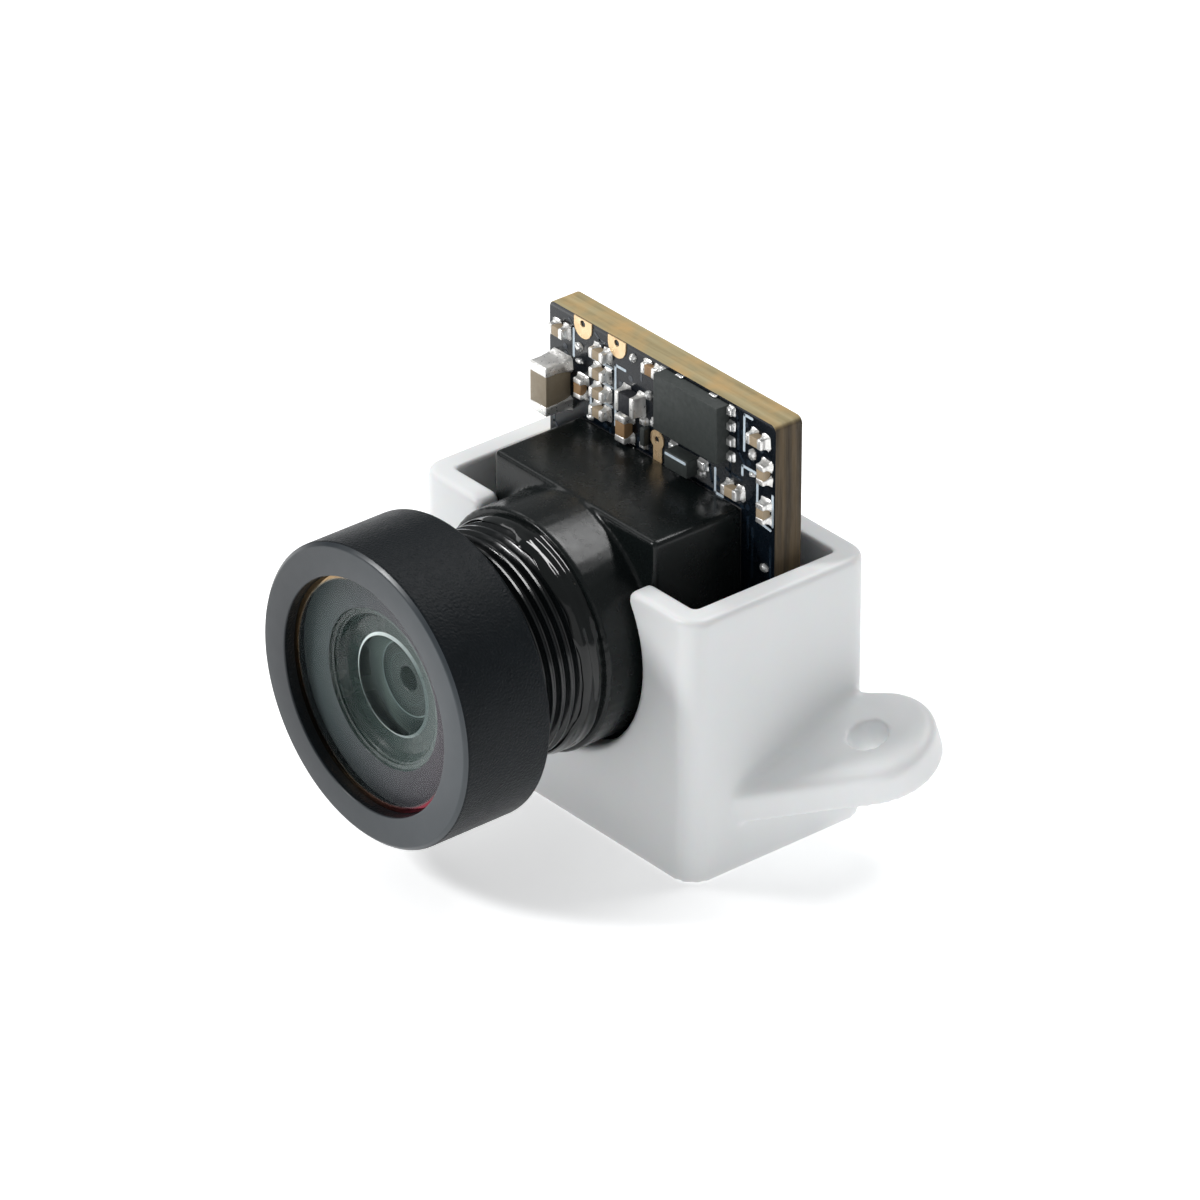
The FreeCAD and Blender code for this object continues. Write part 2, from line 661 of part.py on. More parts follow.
def aperture_stop():
    # A spacer tube with the stop's thin wall across its front end.
    radius = STEM_BORE_RADIUS - GLASS_GAP
    tube = lens_cylinder(radius, SECOND_GLASS_REAR_Y, REAR_GLASS_FRONT_Y)
    bore = lens_cylinder(SPACER_BORE_RADIUS, SECOND_GLASS_REAR_Y + STOP_THICKNESS,
                         REAR_GLASS_FRONT_Y + OVERCUT)
    hole = lens_cylinder(STOP_HOLE_RADIUS, SECOND_GLASS_REAR_Y - OVERCUT, REAR_GLASS_FRONT_Y)
    return cut_all(tube, [bore, hole])


def rear_element():
    # A thick disc with a bulging front face and a hollow rear face.
    radius = STEM_BORE_RADIUS - GLASS_GAP
    disc = lens_cylinder(radius, REAR_GLASS_FRONT_Y, REAR_GLASS_REAR_Y)
    front_blank = lens_cylinder(REAR_GLASS_FACE_RADIUS, REAR_GLASS_FRONT_Y - OVERCUT,
                                REAR_GLASS_FRONT_Y)
    front_dome = ball(REAR_GLASS_FACE_RADIUS, REAR_GLASS_FRONT_Y,
                      REAR_GLASS_FRONT_Y - REAR_GLASS_BULGE)
    rear_hollow = ball(REAR_GLASS_FACE_RADIUS, REAR_GLASS_REAR_Y,
                       REAR_GLASS_REAR_Y - REAR_GLASS_BULGE)
    return disc.fuse(front_blank.common(front_dome)).removeSplitter().cut(rear_hollow)


def write(node, shape):
    shape.exportStep(os.path.join("parts", node + ".step"))


def main():
    os.makedirs("parts", exist_ok=True)
    write("cradle", cradle())
    write("ear_right", ear(1))
    write("ear_left", ear(-1))
    write("lens_holder", lens_holder())
    write("holder_bond", holder_bond())
    write("thread_seal", thread_seal())
    write("circuit_board", circuit_board())
    write("wire_pads", wire_pads())
    write("test_pad", test_pad())
    write("memory_chip", memory_chip())
    write("memory_chip_leads", Part.makeCompound(memory_chip_leads()))
    write("large_capacitor", chip_body(*LARGE_CAPACITOR))
    write("large_capacitor_ends", Part.makeCompound(chip_ends(*LARGE_CAPACITOR)))
    write("small_capacitors", Part.makeCompound(from_rows(chip_body, SMALL_CAPACITORS)))
    write("small_capacitor_ends", Part.makeCompound(all_ends(SMALL_CAPACITORS)))
    write("resistors", Part.makeCompound(from_rows(chip_body, RESISTORS)))
    write("resistor_ends", Part.makeCompound(all_ends(RESISTORS)))
    write("inductor", chip_body(*INDUCTOR))
    write("inductor_ends", Part.makeCompound(chip_ends(*INDUCTOR)))
    write("small_packages", Part.makeCompound(from_rows(on_board, SMALL_PACKAGES)))
    write("package_leads", Part.makeCompound(from_rows(package_lead, PACKAGE_LEADS)))
    write("solder_joints", Part.makeCompound(from_rows(solder_lump, SOLDER_JOINTS)))
    write("rear_processor", rear_processor())
    write("image_sensor", image_sensor())
    write("sensor_window", sensor_window())
    write("infrared_filter", infrared_filter())
    write("lens_barrel", lens_barrel())
    write("rear_retaining_ring", rear_retaining_ring())
    write("front_element", front_element())
    write("baffle_ring", baffle_ring())
    write("second_element", second_element())
    write("aperture_stop", aperture_stop())
    write("rear_element", rear_element())


main()
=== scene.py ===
import math
import random

import bmesh
import bpy
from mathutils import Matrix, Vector


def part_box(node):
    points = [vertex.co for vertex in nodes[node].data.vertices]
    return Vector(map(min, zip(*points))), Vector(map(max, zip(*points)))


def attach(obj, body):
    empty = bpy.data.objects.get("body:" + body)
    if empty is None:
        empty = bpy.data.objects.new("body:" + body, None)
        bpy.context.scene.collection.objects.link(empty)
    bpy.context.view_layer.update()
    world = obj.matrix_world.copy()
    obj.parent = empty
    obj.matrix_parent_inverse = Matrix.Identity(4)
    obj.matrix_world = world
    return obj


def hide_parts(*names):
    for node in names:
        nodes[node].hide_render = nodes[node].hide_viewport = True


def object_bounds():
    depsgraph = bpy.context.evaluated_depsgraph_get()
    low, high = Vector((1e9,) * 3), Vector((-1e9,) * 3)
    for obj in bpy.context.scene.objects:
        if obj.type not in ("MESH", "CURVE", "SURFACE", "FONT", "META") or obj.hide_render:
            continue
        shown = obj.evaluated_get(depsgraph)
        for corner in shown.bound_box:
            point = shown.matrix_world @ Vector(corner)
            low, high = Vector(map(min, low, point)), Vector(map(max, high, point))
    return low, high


# A micro board camera in a white moulded cradle. Metres, in the CAD frame:
# X is across the cradle, the lens looks along -Y, and Z is up.

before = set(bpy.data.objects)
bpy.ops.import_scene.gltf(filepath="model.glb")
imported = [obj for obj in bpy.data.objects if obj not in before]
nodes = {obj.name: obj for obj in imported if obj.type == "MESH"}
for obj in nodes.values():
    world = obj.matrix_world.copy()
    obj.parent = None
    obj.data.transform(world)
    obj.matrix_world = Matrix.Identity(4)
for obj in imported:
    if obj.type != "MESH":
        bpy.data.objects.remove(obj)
CAD_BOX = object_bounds()
MM = 0.001
MICRON = 0.000001
TURN = 2 * math.pi
AXIS_Z = (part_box("lens_barrel")[0].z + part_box("lens_barrel")[1].z) / 2
MOUNT = "mount"
OPTICS = "lens_optics"
BARREL = "lens_barrel"

# ---- camera, at the photograph's viewing angle ----
VIEW_AZIMUTH = math.radians(50.17)
VIEW_ELEVATION = math.radians(29.88)
CAMERA_DISTANCE = 266.08 * MM
CAMERA_RIGHT = 0.78 * MM
CAMERA_UP = 5.76 * MM
CAMERA_FORWARD = 2.66 * MM
CAMERA_LENS_MM = 270
CAMERA_NEAR = 10 * MM
CAMERA_FAR = 10


def make_camera():
    flat = math.cos(VIEW_ELEVATION)
    back = Vector((math.sin(VIEW_AZIMUTH) * flat, -math.cos(VIEW_AZIMUTH) * flat,
                   math.sin(VIEW_ELEVATION)))
    right = Vector((math.cos(VIEW_AZIMUTH), math.sin(VIEW_AZIMUTH), 0))
    up = back.cross(right)
    data = bpy.data.cameras.new("camera")
    data.lens = CAMERA_LENS_MM
    data.clip_start = CAMERA_NEAR
    data.clip_end = CAMERA_FAR
    camera = bpy.data.objects.new("camera", data)
    camera.location = (back * CAMERA_DISTANCE + right * CAMERA_RIGHT + up * CAMERA_UP
                       - Vector((0, CAMERA_FORWARD, 0)))
    camera.rotation_mode = "QUATERNION"
    camera.rotation_quaternion = (-back).to_track_quat("-Z", "Y")
    bpy.context.scene.collection.objects.link(camera)
    bpy.context.scene.camera = camera


make_camera()


# ---- light, floor and background ----
LIGHT_DISTANCE = 260 * MM
# name, direction towards the light, watts, width and height
LIGHTS = (
    ("key", (-0.42, -0.70, 0.62), 0.37, 44 * MM, 44 * MM),
    ("left_top", (-0.70, 0.05, 0.72), 0.08, 100 * MM, 100 * MM),
    ("back_top", (-0.05, 0.50, 0.86), 0.30, 170 * MM, 32 * MM),
    ("side_fill", (0.92, -0.30, 0.30), 0.05, 200 * MM, 200 * MM),
)
WORLD_COLOR = (0.97, 0.985, 1.0, 1)
WORLD_STRENGTH = 0.28
FLOOR_HALF = 400 * MM
FLOOR_DROP = 10 * MICRON


def make_lights():
    for name, direction, watts, width, height in LIGHTS:
        data = bpy.data.lights.new(name, "AREA")
        data.shape = "RECTANGLE"
        data.size = width
        data.size_y = height
        data.energy = watts
        light = bpy.data.objects.new(name, data)
        towards = Vector(direction).normalized()
        light.location = towards * LIGHT_DISTANCE
        light.rotation_mode = "QUATERNION"
        light.rotation_quaternion = towards.to_track_quat("Z", "Y")
        bpy.context.scene.collection.objects.link(light)
    world = bpy.data.worlds.new("studio")
    world.use_nodes = True
    background = world.node_tree.nodes["Background"]
    background.inputs["Color"].default_value = WORLD_COLOR
    background.inputs["Strength"].default_value = WORLD_STRENGTH
    bpy.context.scene.world = world
    bpy.context.scene.view_settings.view_transform = "Standard"


make_lights()


# ---- materials ----

class Finish:
    """One material, built out of nodes that read the piece's own coordinates."""

    def __init__(self, name, **constants):
        self.material = bpy.data.materials.new(name)
        self.material.use_nodes = True
        self.tree = self.material.node_tree
        self.shader = self.tree.nodes["Principled BSDF"]
        self.place = self.node("ShaderNodeTexCoord").outputs["Object"]
        self.normal = None
        for socket, value in constants.items():
            self.shader.inputs[socket.replace("_", " ")].default_value = value

    def node(self, kind, **values):
        made = self.tree.nodes.new(kind)
        for key, value in values.items():
            setattr(made, key, value)
        return made

    def link(self, source, target):
        self.tree.links.new(source, target)

    def stretched(self, stretch):
        mapping = self.node("ShaderNodeMapping")
        mapping.inputs["Scale"].default_value = stretch
        self.link(self.place, mapping.inputs["Vector"])
        return mapping.outputs["Vector"]

    def noise(self, size_mm, detail=3, roughness=0.5, stretch=None):
        made = self.node("ShaderNodeTexNoise")
        made.inputs["Scale"].default_value = 1 / (size_mm * MM)
        made.inputs["Detail"].default_value = detail
        made.inputs["Roughness"].default_value = roughness
        self.link(self.stretched(stretch) if stretch else self.place, made.inputs["Vector"])
        return made.outputs["Fac"]

    def cells(self, size_mm):
        """0 on the borders between pebbles, rising towards their middles."""
        made = self.node("ShaderNodeTexVoronoi", feature="DISTANCE_TO_EDGE")
        made.inputs["Scale"].default_value = 1 / (size_mm * MM)
        self.link(self.place, made.inputs["Vector"])
        return made.outputs["Distance"]

    def range(self, source, from_low, from_high, to_low, to_high):
        made = self.node("ShaderNodeMapRange")
        for socket, value in zip(("From Min", "From Max", "To Min", "To Max"),
                                 (from_low, from_high, to_low, to_high)):
            made.inputs[socket].default_value = value
        self.link(source, made.inputs["Value"])
        return made.outputs["Result"]

    def mix(self, factor, first, second):
        """Blends two colours, or sockets that carry a colour."""
        made = self.node("ShaderNodeMix", data_type="RGBA")
        self.link(factor, made.inputs["Factor"])
        for socket, value in ((made.inputs[6], first), (made.inputs[7], second)):
            if isinstance(value, tuple):
                socket.default_value = (*value, 1)
            else:
                self.link(value, socket)
        return made.outputs[2]

    def color(self, source):
        self.link(source, self.shader.inputs["Base Color"])

    def rough(self, source, low, high, from_low=0.3, from_high=0.7):
        self.link(self.range(source, from_low, from_high, low, high),
                  self.shader.inputs["Roughness"])

    def bump(self, source, height_mm):
        made = self.node("ShaderNodeBump")
        made.inputs["Distance"].default_value = height_mm * MM
        self.link(source, made.inputs["Height"])
        if self.normal:
            self.link(self.normal, made.inputs["Normal"])
        self.normal = made.outputs["Normal"]
        self.link(self.normal, self.shader.inputs["Normal"])

    def across(self, from_mm, to_mm, axis="X"):
        """Goes from 0 to 1 between two places along an axis."""
        made = self.node("ShaderNodeSeparateXYZ")
        self.link(self.place, made.inputs["Vector"])
        return self.range(made.outputs[axis], from_mm * MM, to_mm * MM, 0, 1)

    def off_axis(self):
        """Distance from the lens axis."""
        moved = self.node("ShaderNodeMapping")
        moved.inputs["Location"].default_value = (0, 0, -AXIS_Z)
        moved.inputs["Scale"].default_value = (1, 0, 1)
        self.link(self.place, moved.inputs["Vector"])
        length = self.node("ShaderNodeVectorMath", operation="LENGTH")
        self.link(moved.outputs["Vector"], length.inputs[0])
        return length.outputs["Value"]

    def outward(self, from_mm, to_mm):
        """Goes from 0 to 1 between two distances from the lens axis."""
        return self.range(self.off_axis(), from_mm * MM, to_mm * MM, 0, 1)

    def ring(self, radius_mm, width_mm):
        """1 on a circle round the lens axis, falling to 0 at either side."""
        away = self.node("ShaderNodeMath", operation="SUBTRACT")
        away.inputs[1].default_value = radius_mm * MM
        self.link(self.off_axis(), away.inputs[0])
        size = self.node("ShaderNodeMath", operation="ABSOLUTE")
        self.link(away.outputs["Value"], size.inputs[0])
        return self.range(size.outputs["Value"], 0, width_mm * MM, 1, 0)


def white_plastic():
    made = Finish("white_plastic", Subsurface_Weight=0.12, Subsurface_Scale=0.25 * MM,
                  Specular_IOR_Level=0.45)
    made.color(made.mix(made.noise(2.6, 4), (0.755, 0.770, 0.775), (0.80, 0.812, 0.815)))
    made.rough(made.noise(0.5, 4), 0.36, 0.48)
    made.bump(made.noise(2.2, 2), 0.010)
    made.bump(made.noise(0.045, 4, 0.65), 0.0010)
    return made.material


def black_plastic(name, shade, specular, rough_low, rough_high, grain_mm, grain_height_mm):
    made = Finish(name, Specular_IOR_Level=specular)
    made.color(made.mix(made.noise(0.8, 4), shade, tuple(1.7 * value for value in shade)))
    made.rough(made.noise(0.35, 2), rough_low, rough_high)
    made.bump(made.noise(1.6, 2), 0.004)
    made.bump(made.noise(grain_mm, 3, 0.6), grain_height_mm)
    return made.material


def head_leather():
    made = Finish("head_leather", Specular_IOR_Level=0.14)
    made.color(made.mix(made.noise(0.6, 4), (0.0030, 0.0050, 0.0066), (0.0066, 0.0094, 0.0118)))
    made.rough(made.noise(0.3, 3), 0.38, 0.44)
    made.bump(made.cells(0.13), 0.020)
    made.bump(made.noise(0.07, 3, 0.6), 0.022)
    return made.material


def head_face():
    made = Finish("head_face", Specular_IOR_Level=0.50)
    # Painted sheen: the face is coloured near black at the left and a lighter grey at the right, in place
    # of a sheen.
    painted_sheen = made.mix(made.noise(0.8, 4), (0.032, 0.040, 0.047), (0.046, 0.056, 0.064))
    made.color(made.mix(made.across(-3.5, 4.5), (0.006, 0.010, 0.014), painted_sheen))
    made.rough(made.noise(0.5, 3), 0.30, 0.38)
    made.bump(made.noise(1.4, 2), 0.006)
    made.bump(made.noise(0.05, 3, 0.6), 0.0010)
    return made.material


def seal_lacquer():
    made = Finish("seal_lacquer", Specular_IOR_Level=0.32, Coat_Weight=0.15, Coat_Roughness=0.03)
    made.color(made.mix(made.noise(0.7, 2), (0.002, 0.003, 0.003), (0.006, 0.008, 0.008)))
    made.rough(made.noise(0.5, 2), 0.05, 0.13)
    made.bump(made.noise(0.7, 2), 0.02)
    return made.material


def solder_mask():
    made = Finish("solder_mask", Coat_Weight=0.25, Coat_Roughness=0.10, Specular_IOR_Level=0.3)
    weave = made.noise(0.30, 2, stretch=(1, 1, 0.35))
    made.color(made.mix(weave, (0.0015, 0.003, 0.006), (0.004, 0.008, 0.013)))
    made.rough(made.noise(0.6, 3), 0.18, 0.32)
    made.bump(made.noise(0.12, 3), 0.002)
    return made.material


def mask_over_copper():
    made = Finish("mask_over_copper", Coat_Weight=0.25, Coat_Roughness=0.10)
    made.color(made.mix(made.noise(0.4, 3), (0.006, 0.013, 0.024), (0.013, 0.024, 0.038)))
    made.rough(made.noise(0.4, 3), 0.20, 0.34)
    made.bump(made.noise(0.08, 3), 0.002)
    return made.material


def laminate():
    """Layers of glass cloth seen end on. The right-hand edge is coloured a darker brown."""
    made = Finish("laminate_edge", Specular_IOR_Level=0.35)
    layers = made.noise(0.22, 3, 0.6, stretch=(0.04, 1.0, 0.04))
    fibres = made.noise(0.06, 3, 0.6, stretch=(0.15, 1.0, 0.15))
    stains = made.noise(0.9, 3)
    olive = made.mix(made.range(layers, 0.30, 0.70, 0, 1), (0.27, 0.215, 0.105), (0.43, 0.36, 0.20))
    olive = made.mix(made.range(stains, 0.45, 0.75, 0, 1), olive, (0.50, 0.33, 0.14))
    brown = made.mix(made.range(layers, 0.35, 0.65, 0, 1), (0.032, 0.022, 0.011), (0.110, 0.076, 0.038))
    made.color(made.mix(made.across(5.00, 5.08), olive, brown))
    made.rough(fibres, 0.50, 0.75)
    made.bump(layers, 0.006)
    made.bump(fibres, 0.004)
    return made.material


def silk_ink_and_painted_glint():
    made = Finish("silk_ink_and_painted_glint")
    made.color(made.mix(made.noise(0.10, 3), (0.52, 0.62, 0.71), (0.72, 0.81, 0.87)))
    made.rough(made.noise(0.1, 3), 0.45, 0.65)
    made.bump(made.noise(0.05, 3), 0.003)
    return made.material


def gold_plate():
    made = Finish("gold_plate", Metallic=0.55)
    made.color(made.mix(made.noise(0.25, 4), (0.86, 0.55, 0.27), (1.0, 0.80, 0.52)))
    made.rough(made.noise(0.2, 4), 0.24, 0.42)
    made.bump(made.noise(0.06, 3), 0.003)
    return made.material


def tin(name, dark, light, rough_low, rough_high, lumps_mm):
    made = Finish(name, Metallic=0.7)
    made.color(made.mix(made.noise(0.12, 4, 0.6), dark, light))
    made.rough(made.noise(0.10, 3), rough_low, rough_high)
    made.bump(made.noise(0.14, 2), lumps_mm)
    made.bump(made.noise(0.03, 3), 0.002)
    return made.material


def ceramic(name, dark, light):
    made = Finish(name, Specular_IOR_Level=0.4)
    layered = made.noise(0.30, 4, 0.6)
    made.color(made.mix(layered, dark, light))
    made.rough(made.noise(0.1, 3), 0.42, 0.62)
    made.bump(made.noise(0.05, 4, 0.6), 0.004)
    return made.material


def chip_epoxy():
    made = Finish("chip_epoxy", Specular_IOR_Level=0.4)
    made.color(made.mix(made.noise(0.12, 4, 0.7), (0.022, 0.027, 0.026), (0.050, 0.057, 0.054)))
    made.rough(made.noise(0.2, 3), 0.48, 0.66)
    made.bump(made.noise(0.04, 4, 0.7), 0.004)
    return made.material


def dull_black(name, dark, light, rough_low=0.55, rough_high=0.75):
    made = Finish(name)
    made.color(made.mix(made.noise(0.3, 4), dark, light))
    made.rough(made.noise(0.2, 3), rough_low, rough_high)
    made.bump(made.noise(0.05, 3, 0.6), 0.003)
    return made.material


def front_coating():
    """Clear glass with a faint reflection. Its rim carries a painted reflection: gold at the left, crimson
    at the right.
    """
    made = Finish("front_coating", Metallic=1.0)
    # Painted reflection: the nearly opaque rim is coloured gold at the left and crimson at the right.
    edge = made.mix(made.across(-1.2, 1.6), (0.30, 0.20, 0.10), (0.25, 0.025, 0.045))
    made.color(made.mix(made.outward(3.46, 3.54), (0.11, 0.14, 0.14), edge))
    made.rough(made.noise(0.8, 2), 0.0, 0.03)
    made.bump(made.noise(1.5, 2), 0.0003)
    made.link(made.range(made.outward(3.46, 3.54), 0, 1, 0.04, 0.90), made.shader.inputs["Alpha"])
    return made.material


def dome_glass():
    made = Finish("dome_glass", Metallic=1.0, Alpha=0.05)
    made.color(made.mix(made.noise(1.2, 2), (0.16, 0.22, 0.205), (0.205, 0.25, 0.24)))
    made.rough(made.noise(0.8, 2), 0.0, 0.03)
    made.bump(made.noise(1.5, 2), 0.0003)
    return made.material


def glass(name, tint, film_nm):
    made = Finish(name, Transmission_Weight=1.0, IOR=1.52, Thin_Film_Thickness=film_nm,
                  Thin_Film_IOR=1.38)
    made.color(made.mix(made.noise(1.2, 2), tint, tuple(min(1, 1.03 * value) for value in tint)))
    made.rough(made.noise(0.8, 2), 0.0, 0.02)
    made.bump(made.noise(1.5, 2), 0.0004)
    return made.material


def ground_bevel_painted_glow():
    """The ground bevel round the second element, with a painted glow: strongest at the left, fading into
    painted shade at the right.
    """
    made = Finish("ground_bevel_painted_glow", Emission_Strength=0.16)
    # Painted highlight and glow: this colour, also used as an emission, is bright at the left and painted
    # dark at the right.
    bright = made.mix(made.noise(0.30, 4), (0.58, 0.68, 0.66), (0.76, 0.82, 0.80))
    painted_glow_and_shade = made.mix(made.across(-0.9, 1.3), bright, (0.09, 0.13, 0.125))
    made.color(painted_glow_and_shade)
    made.link(painted_glow_and_shade, made.shader.inputs["Emission Color"])
    made.rough(made.noise(0.08, 3), 0.20, 0.45)
    made.bump(made.noise(0.04, 3), 0.003)
    return made.material


def baffle_face():
    made = Finish("baffle_face", Specular_IOR_Level=0.3)
    # A dark face with a painted reflection: a green-grey tint at the left turns to a purple-grey tint at
    # the right, in place of the coated glass's reflections.
    left = made.mix(made.noise(0.5, 3), (0.038, 0.052, 0.054), (0.050, 0.064, 0.065))
    made.color(made.mix(made.across(-2.6, 3.0), left, (0.060, 0.048, 0.060)))
    made.rough(made.noise(0.4, 3), 0.35, 0.50)
    made.bump(made.noise(0.05, 3), 0.001)
    return made.material


def iris_plate():
    """The stop's wall, with painted light: a pale outer band that is a painted highlight, brightest at the
    left, a fine ring that is a painted reflection, then grey painted lighter towards the right, with a
    faint painted ring inside.
    """
    made = Finish("iris_plate", Specular_IOR_Level=0.3)
    # Painted highlight: the outer band is pale at the left and dark at the right; the centre is painted
    # lighter towards the right; both rings are painted reflections.
    band = made.mix(made.across(-1.5, 0.5), (0.17, 0.225, 0.21), (0.022, 0.036, 0.033))
    centre = made.mix(made.across(-1.0, 1.0), (0.012, 0.023, 0.021), (0.028, 0.042, 0.039))
    plate = made.mix(made.outward(1.10, 1.22), centre, band)
    plate = made.mix(made.ring(1.17, 0.035), plate, (0.30, 0.40, 0.38))
    made.color(made.mix(made.ring(0.80, 0.025), plate, (0.07, 0.10, 0.095)))
    made.rough(made.noise(0.2, 3), 0.30, 0.45)
    made.bump(made.noise(0.05, 3, 0.6), 0.002)
    return made.material


def baffle_cone():
    made = Finish("baffle_cone", Specular_IOR_Level=0.4)
    # Painted light: the cone is coloured dark at the left and lit at the right.
    lit = made.mix(made.noise(0.5, 2), (0.075, 0.105, 0.098), (0.115, 0.145, 0.137))
    made.color(made.mix(made.across(-1.8, 2.2), (0.006, 0.016, 0.013), lit))
    made.rough(made.noise(0.6, 2), 0.20, 0.30)
    made.bump(made.noise(0.9, 2), 0.006)
    return made.material


def floor_paint():
    made = Finish("floor_paint", Emission_Color=(1, 1, 1, 1), Emission_Strength=0.49,
                  Specular_IOR_Level=0.1)
    made.color(made.mix(made.noise(40, 2), (0.88, 0.885, 0.89), (0.91, 0.915, 0.92)))
    made.rough(made.noise(6, 2), 0.75, 0.85)
    return made.material


WHITE = white_plastic()
HOLDER = black_plastic("holder_plastic", (0.004, 0.0055, 0.0055), 0.25, 0.23, 0.29, 0.05, 0.0015)
THREAD = black_plastic("thread_plastic", (0.003, 0.004, 0.0045), 0.45, 0.14, 0.24, 0.04, 0.0008)
LEATHER = head_leather()
FACE = head_face()
SEAL = seal_lacquer()
MASK = solder_mask()
COPPER_UNDER_MASK = mask_over_copper()
LAMINATE = laminate()
SILK_AND_PAINTED_GLINT = silk_ink_and_painted_glint()
GOLD = gold_plate()
TIN = tin("tin_ends", (0.74, 0.73, 0.70), (0.96, 0.95, 0.93), 0.24, 0.44, 0.008)
SOLDER = tin("solder", (0.72, 0.72, 0.71), (0.97, 0.97, 0.96), 0.10, 0.26, 0.012)
LARGE_CERAMIC = ceramic("large_ceramic", (0.24, 0.195, 0.135), (0.36, 0.30, 0.215))
SMALL_CERAMIC = ceramic("small_ceramic", (0.30, 0.23, 0.15), (0.48, 0.38, 0.26))
RESISTOR_CERAMIC = ceramic("resistor_ceramic", (0.22, 0.125, 0.055), (0.42, 0.26, 0.13))
FERRITE = ceramic("ferrite", (0.006, 0.007, 0.010), (0.018, 0.020, 0.027))
EPOXY = chip_epoxy()
BOND = dull_black("bond_adhesive", (0.006, 0.006, 0.006), (0.020, 0.020, 0.020), 0.3, 0.5)
STOP = dull_black("stop_black", (0.006, 0.016, 0.013), (0.012, 0.026, 0.021), 0.30, 0.45)
SENSOR = dull_black("sensor_package", (0.02, 0.02, 0.022), (0.05, 0.05, 0.055))
FRONT_GLASS = front_coating()
DOME_GLASS = dome_glass()
INNER_GLASS = glass("inner_glass", (0.84, 0.95, 0.90), 380)
FILTER_GLASS = glass("filter_glass", (0.60, 0.86, 0.88), 300)
CLEAR_GLASS = glass("clear_glass", (0.92, 0.96, 0.96), 0)
GROUND_BEVEL_PAINTED_GLOW = ground_bevel_painted_glow()
BAFFLE_FACE = baffle_face()
BAFFLE_CONE = baffle_cone()
IRIS_PLATE = iris_plate()


def make_floor():
    corners = [(-1, -1), (1, -1), (1, 1), (-1, 1)]
    points = [(x * FLOOR_HALF, y * FLOOR_HALF, CAD_BOX[0].z - FLOOR_DROP) for x, y in corners]
    mesh = bpy.data.meshes.new("floor")
    mesh.from_pydata(points, [], [(0, 1, 2, 3)])
    mesh.materials.append(floor_paint())
    floor = bpy.data.objects.new("floor", mesh)
    bpy.context.scene.collection.objects.link(floor)


make_floor()


# ---- pieces ----
WELD = 0.01 * MICRON
SHARP_ANGLE = math.radians(32)
NO_SHARP_EDGES = math.pi


def add_piece(name, mesh, materials, body, replaces, sharp=SHARP_ANGLE):
    mesh.polygons.foreach_set("use_smooth", [True] * len(mesh.polygons))
    mesh.set_sharp_from_angle(angle=sharp)
    for material in materials:
        mesh.materials.append(material)
    piece = bpy.data.objects.new(name, mesh)
    bpy.context.scene.collection.objects.link(piece)
    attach(piece, body)
    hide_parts(*replaces)


def from_bmesh(name, bm):
    bmesh.ops.recalc_face_normals(bm, faces=bm.faces)
    mesh = bpy.data.meshes.new(name)
    bm.to_mesh(mesh)
    bm.free()
    return mesh


def bridge(bm, ring, after):
    """Joins two closed rings of corners with a band of faces."""
    for index in range(len(ring)):
        nearby = (index + 1) % len(ring)
        bm.faces.new((ring[index], ring[nearby], after[nearby], after[index]))


def centre_of(box):
    return (box[0] + box[1]) / 2


def islands(node):
    """The lowest and highest corner of each separate solid in a CAD node."""
    bm = bmesh.new()
    bm.from_mesh(nodes[node].data)
    bmesh.ops.remove_doubles(bm, verts=bm.verts, dist=WELD)
    waiting = set(bm.verts)
    boxes = []
    while waiting:
        group = [waiting.pop()]
        for vertex in group:
            for edge in vertex.link_edges:
                other = edge.other_vert(vertex)
                if other in waiting:
                    waiting.remove(other)
                    group.append(other)
        points = [vertex.co for vertex in group]
        boxes.append((Vector([min(p[axis] for p in points) for axis in range(3)]),
                      Vector([max(p[axis] for p in points) for axis in range(3)])))
    bm.free()
    return sorted(boxes, key=lambda box: tuple(box[0]))


# The cradle and the lens holder are mouldings: one seamless skin round their CAD
# nodes, whose edges come out softly rounded.

def moulded(name, sources, voxel_mm, rounds):
    bm = bmesh.new()
    for source in sources:
        bm.from_mesh(nodes[source].data)
    bmesh.ops.remove_doubles(bm, verts=bm.verts, dist=WELD)
    bmesh.ops.scale(bm, vec=(1 / MM,) * 3, verts=bm.verts)
    rough_mesh = from_bmesh(name + "_rough", bm)
    rough = bpy.data.objects.new(name + "_rough", rough_mesh)
    bpy.context.scene.collection.objects.link(rough)
    remesh = rough.modifiers.new("skin", "REMESH")
    remesh.mode = "VOXEL"
    remesh.voxel_size = voxel_mm
    smooth = rough.modifiers.new("soften", "SMOOTH")
    smooth.factor = 0.5
    smooth.iterations = rounds
    graph = bpy.context.evaluated_depsgraph_get()
    mesh = bpy.data.meshes.new_from_object(rough.evaluated_get(graph))
    bpy.data.objects.remove(rough)
    bpy.data.meshes.remove(rough_mesh)
    bm = bmesh.new()
    bm.from_mesh(mesh)
    bmesh.ops.scale(bm, vec=(MM,) * 3, verts=bm.verts)
    bpy.data.meshes.remove(mesh)
    return from_bmesh(name, bm)


CRADLE_NODES = ("cradle", "ear_right", "ear_left")
CRADLE_VOXEL_MM = 0.08
CRADLE_ROUNDS = 5
HOLDER_NODES = ("lens_holder",)
HOLDER_VOXEL_MM = 0.06
HOLDER_ROUNDS = 3

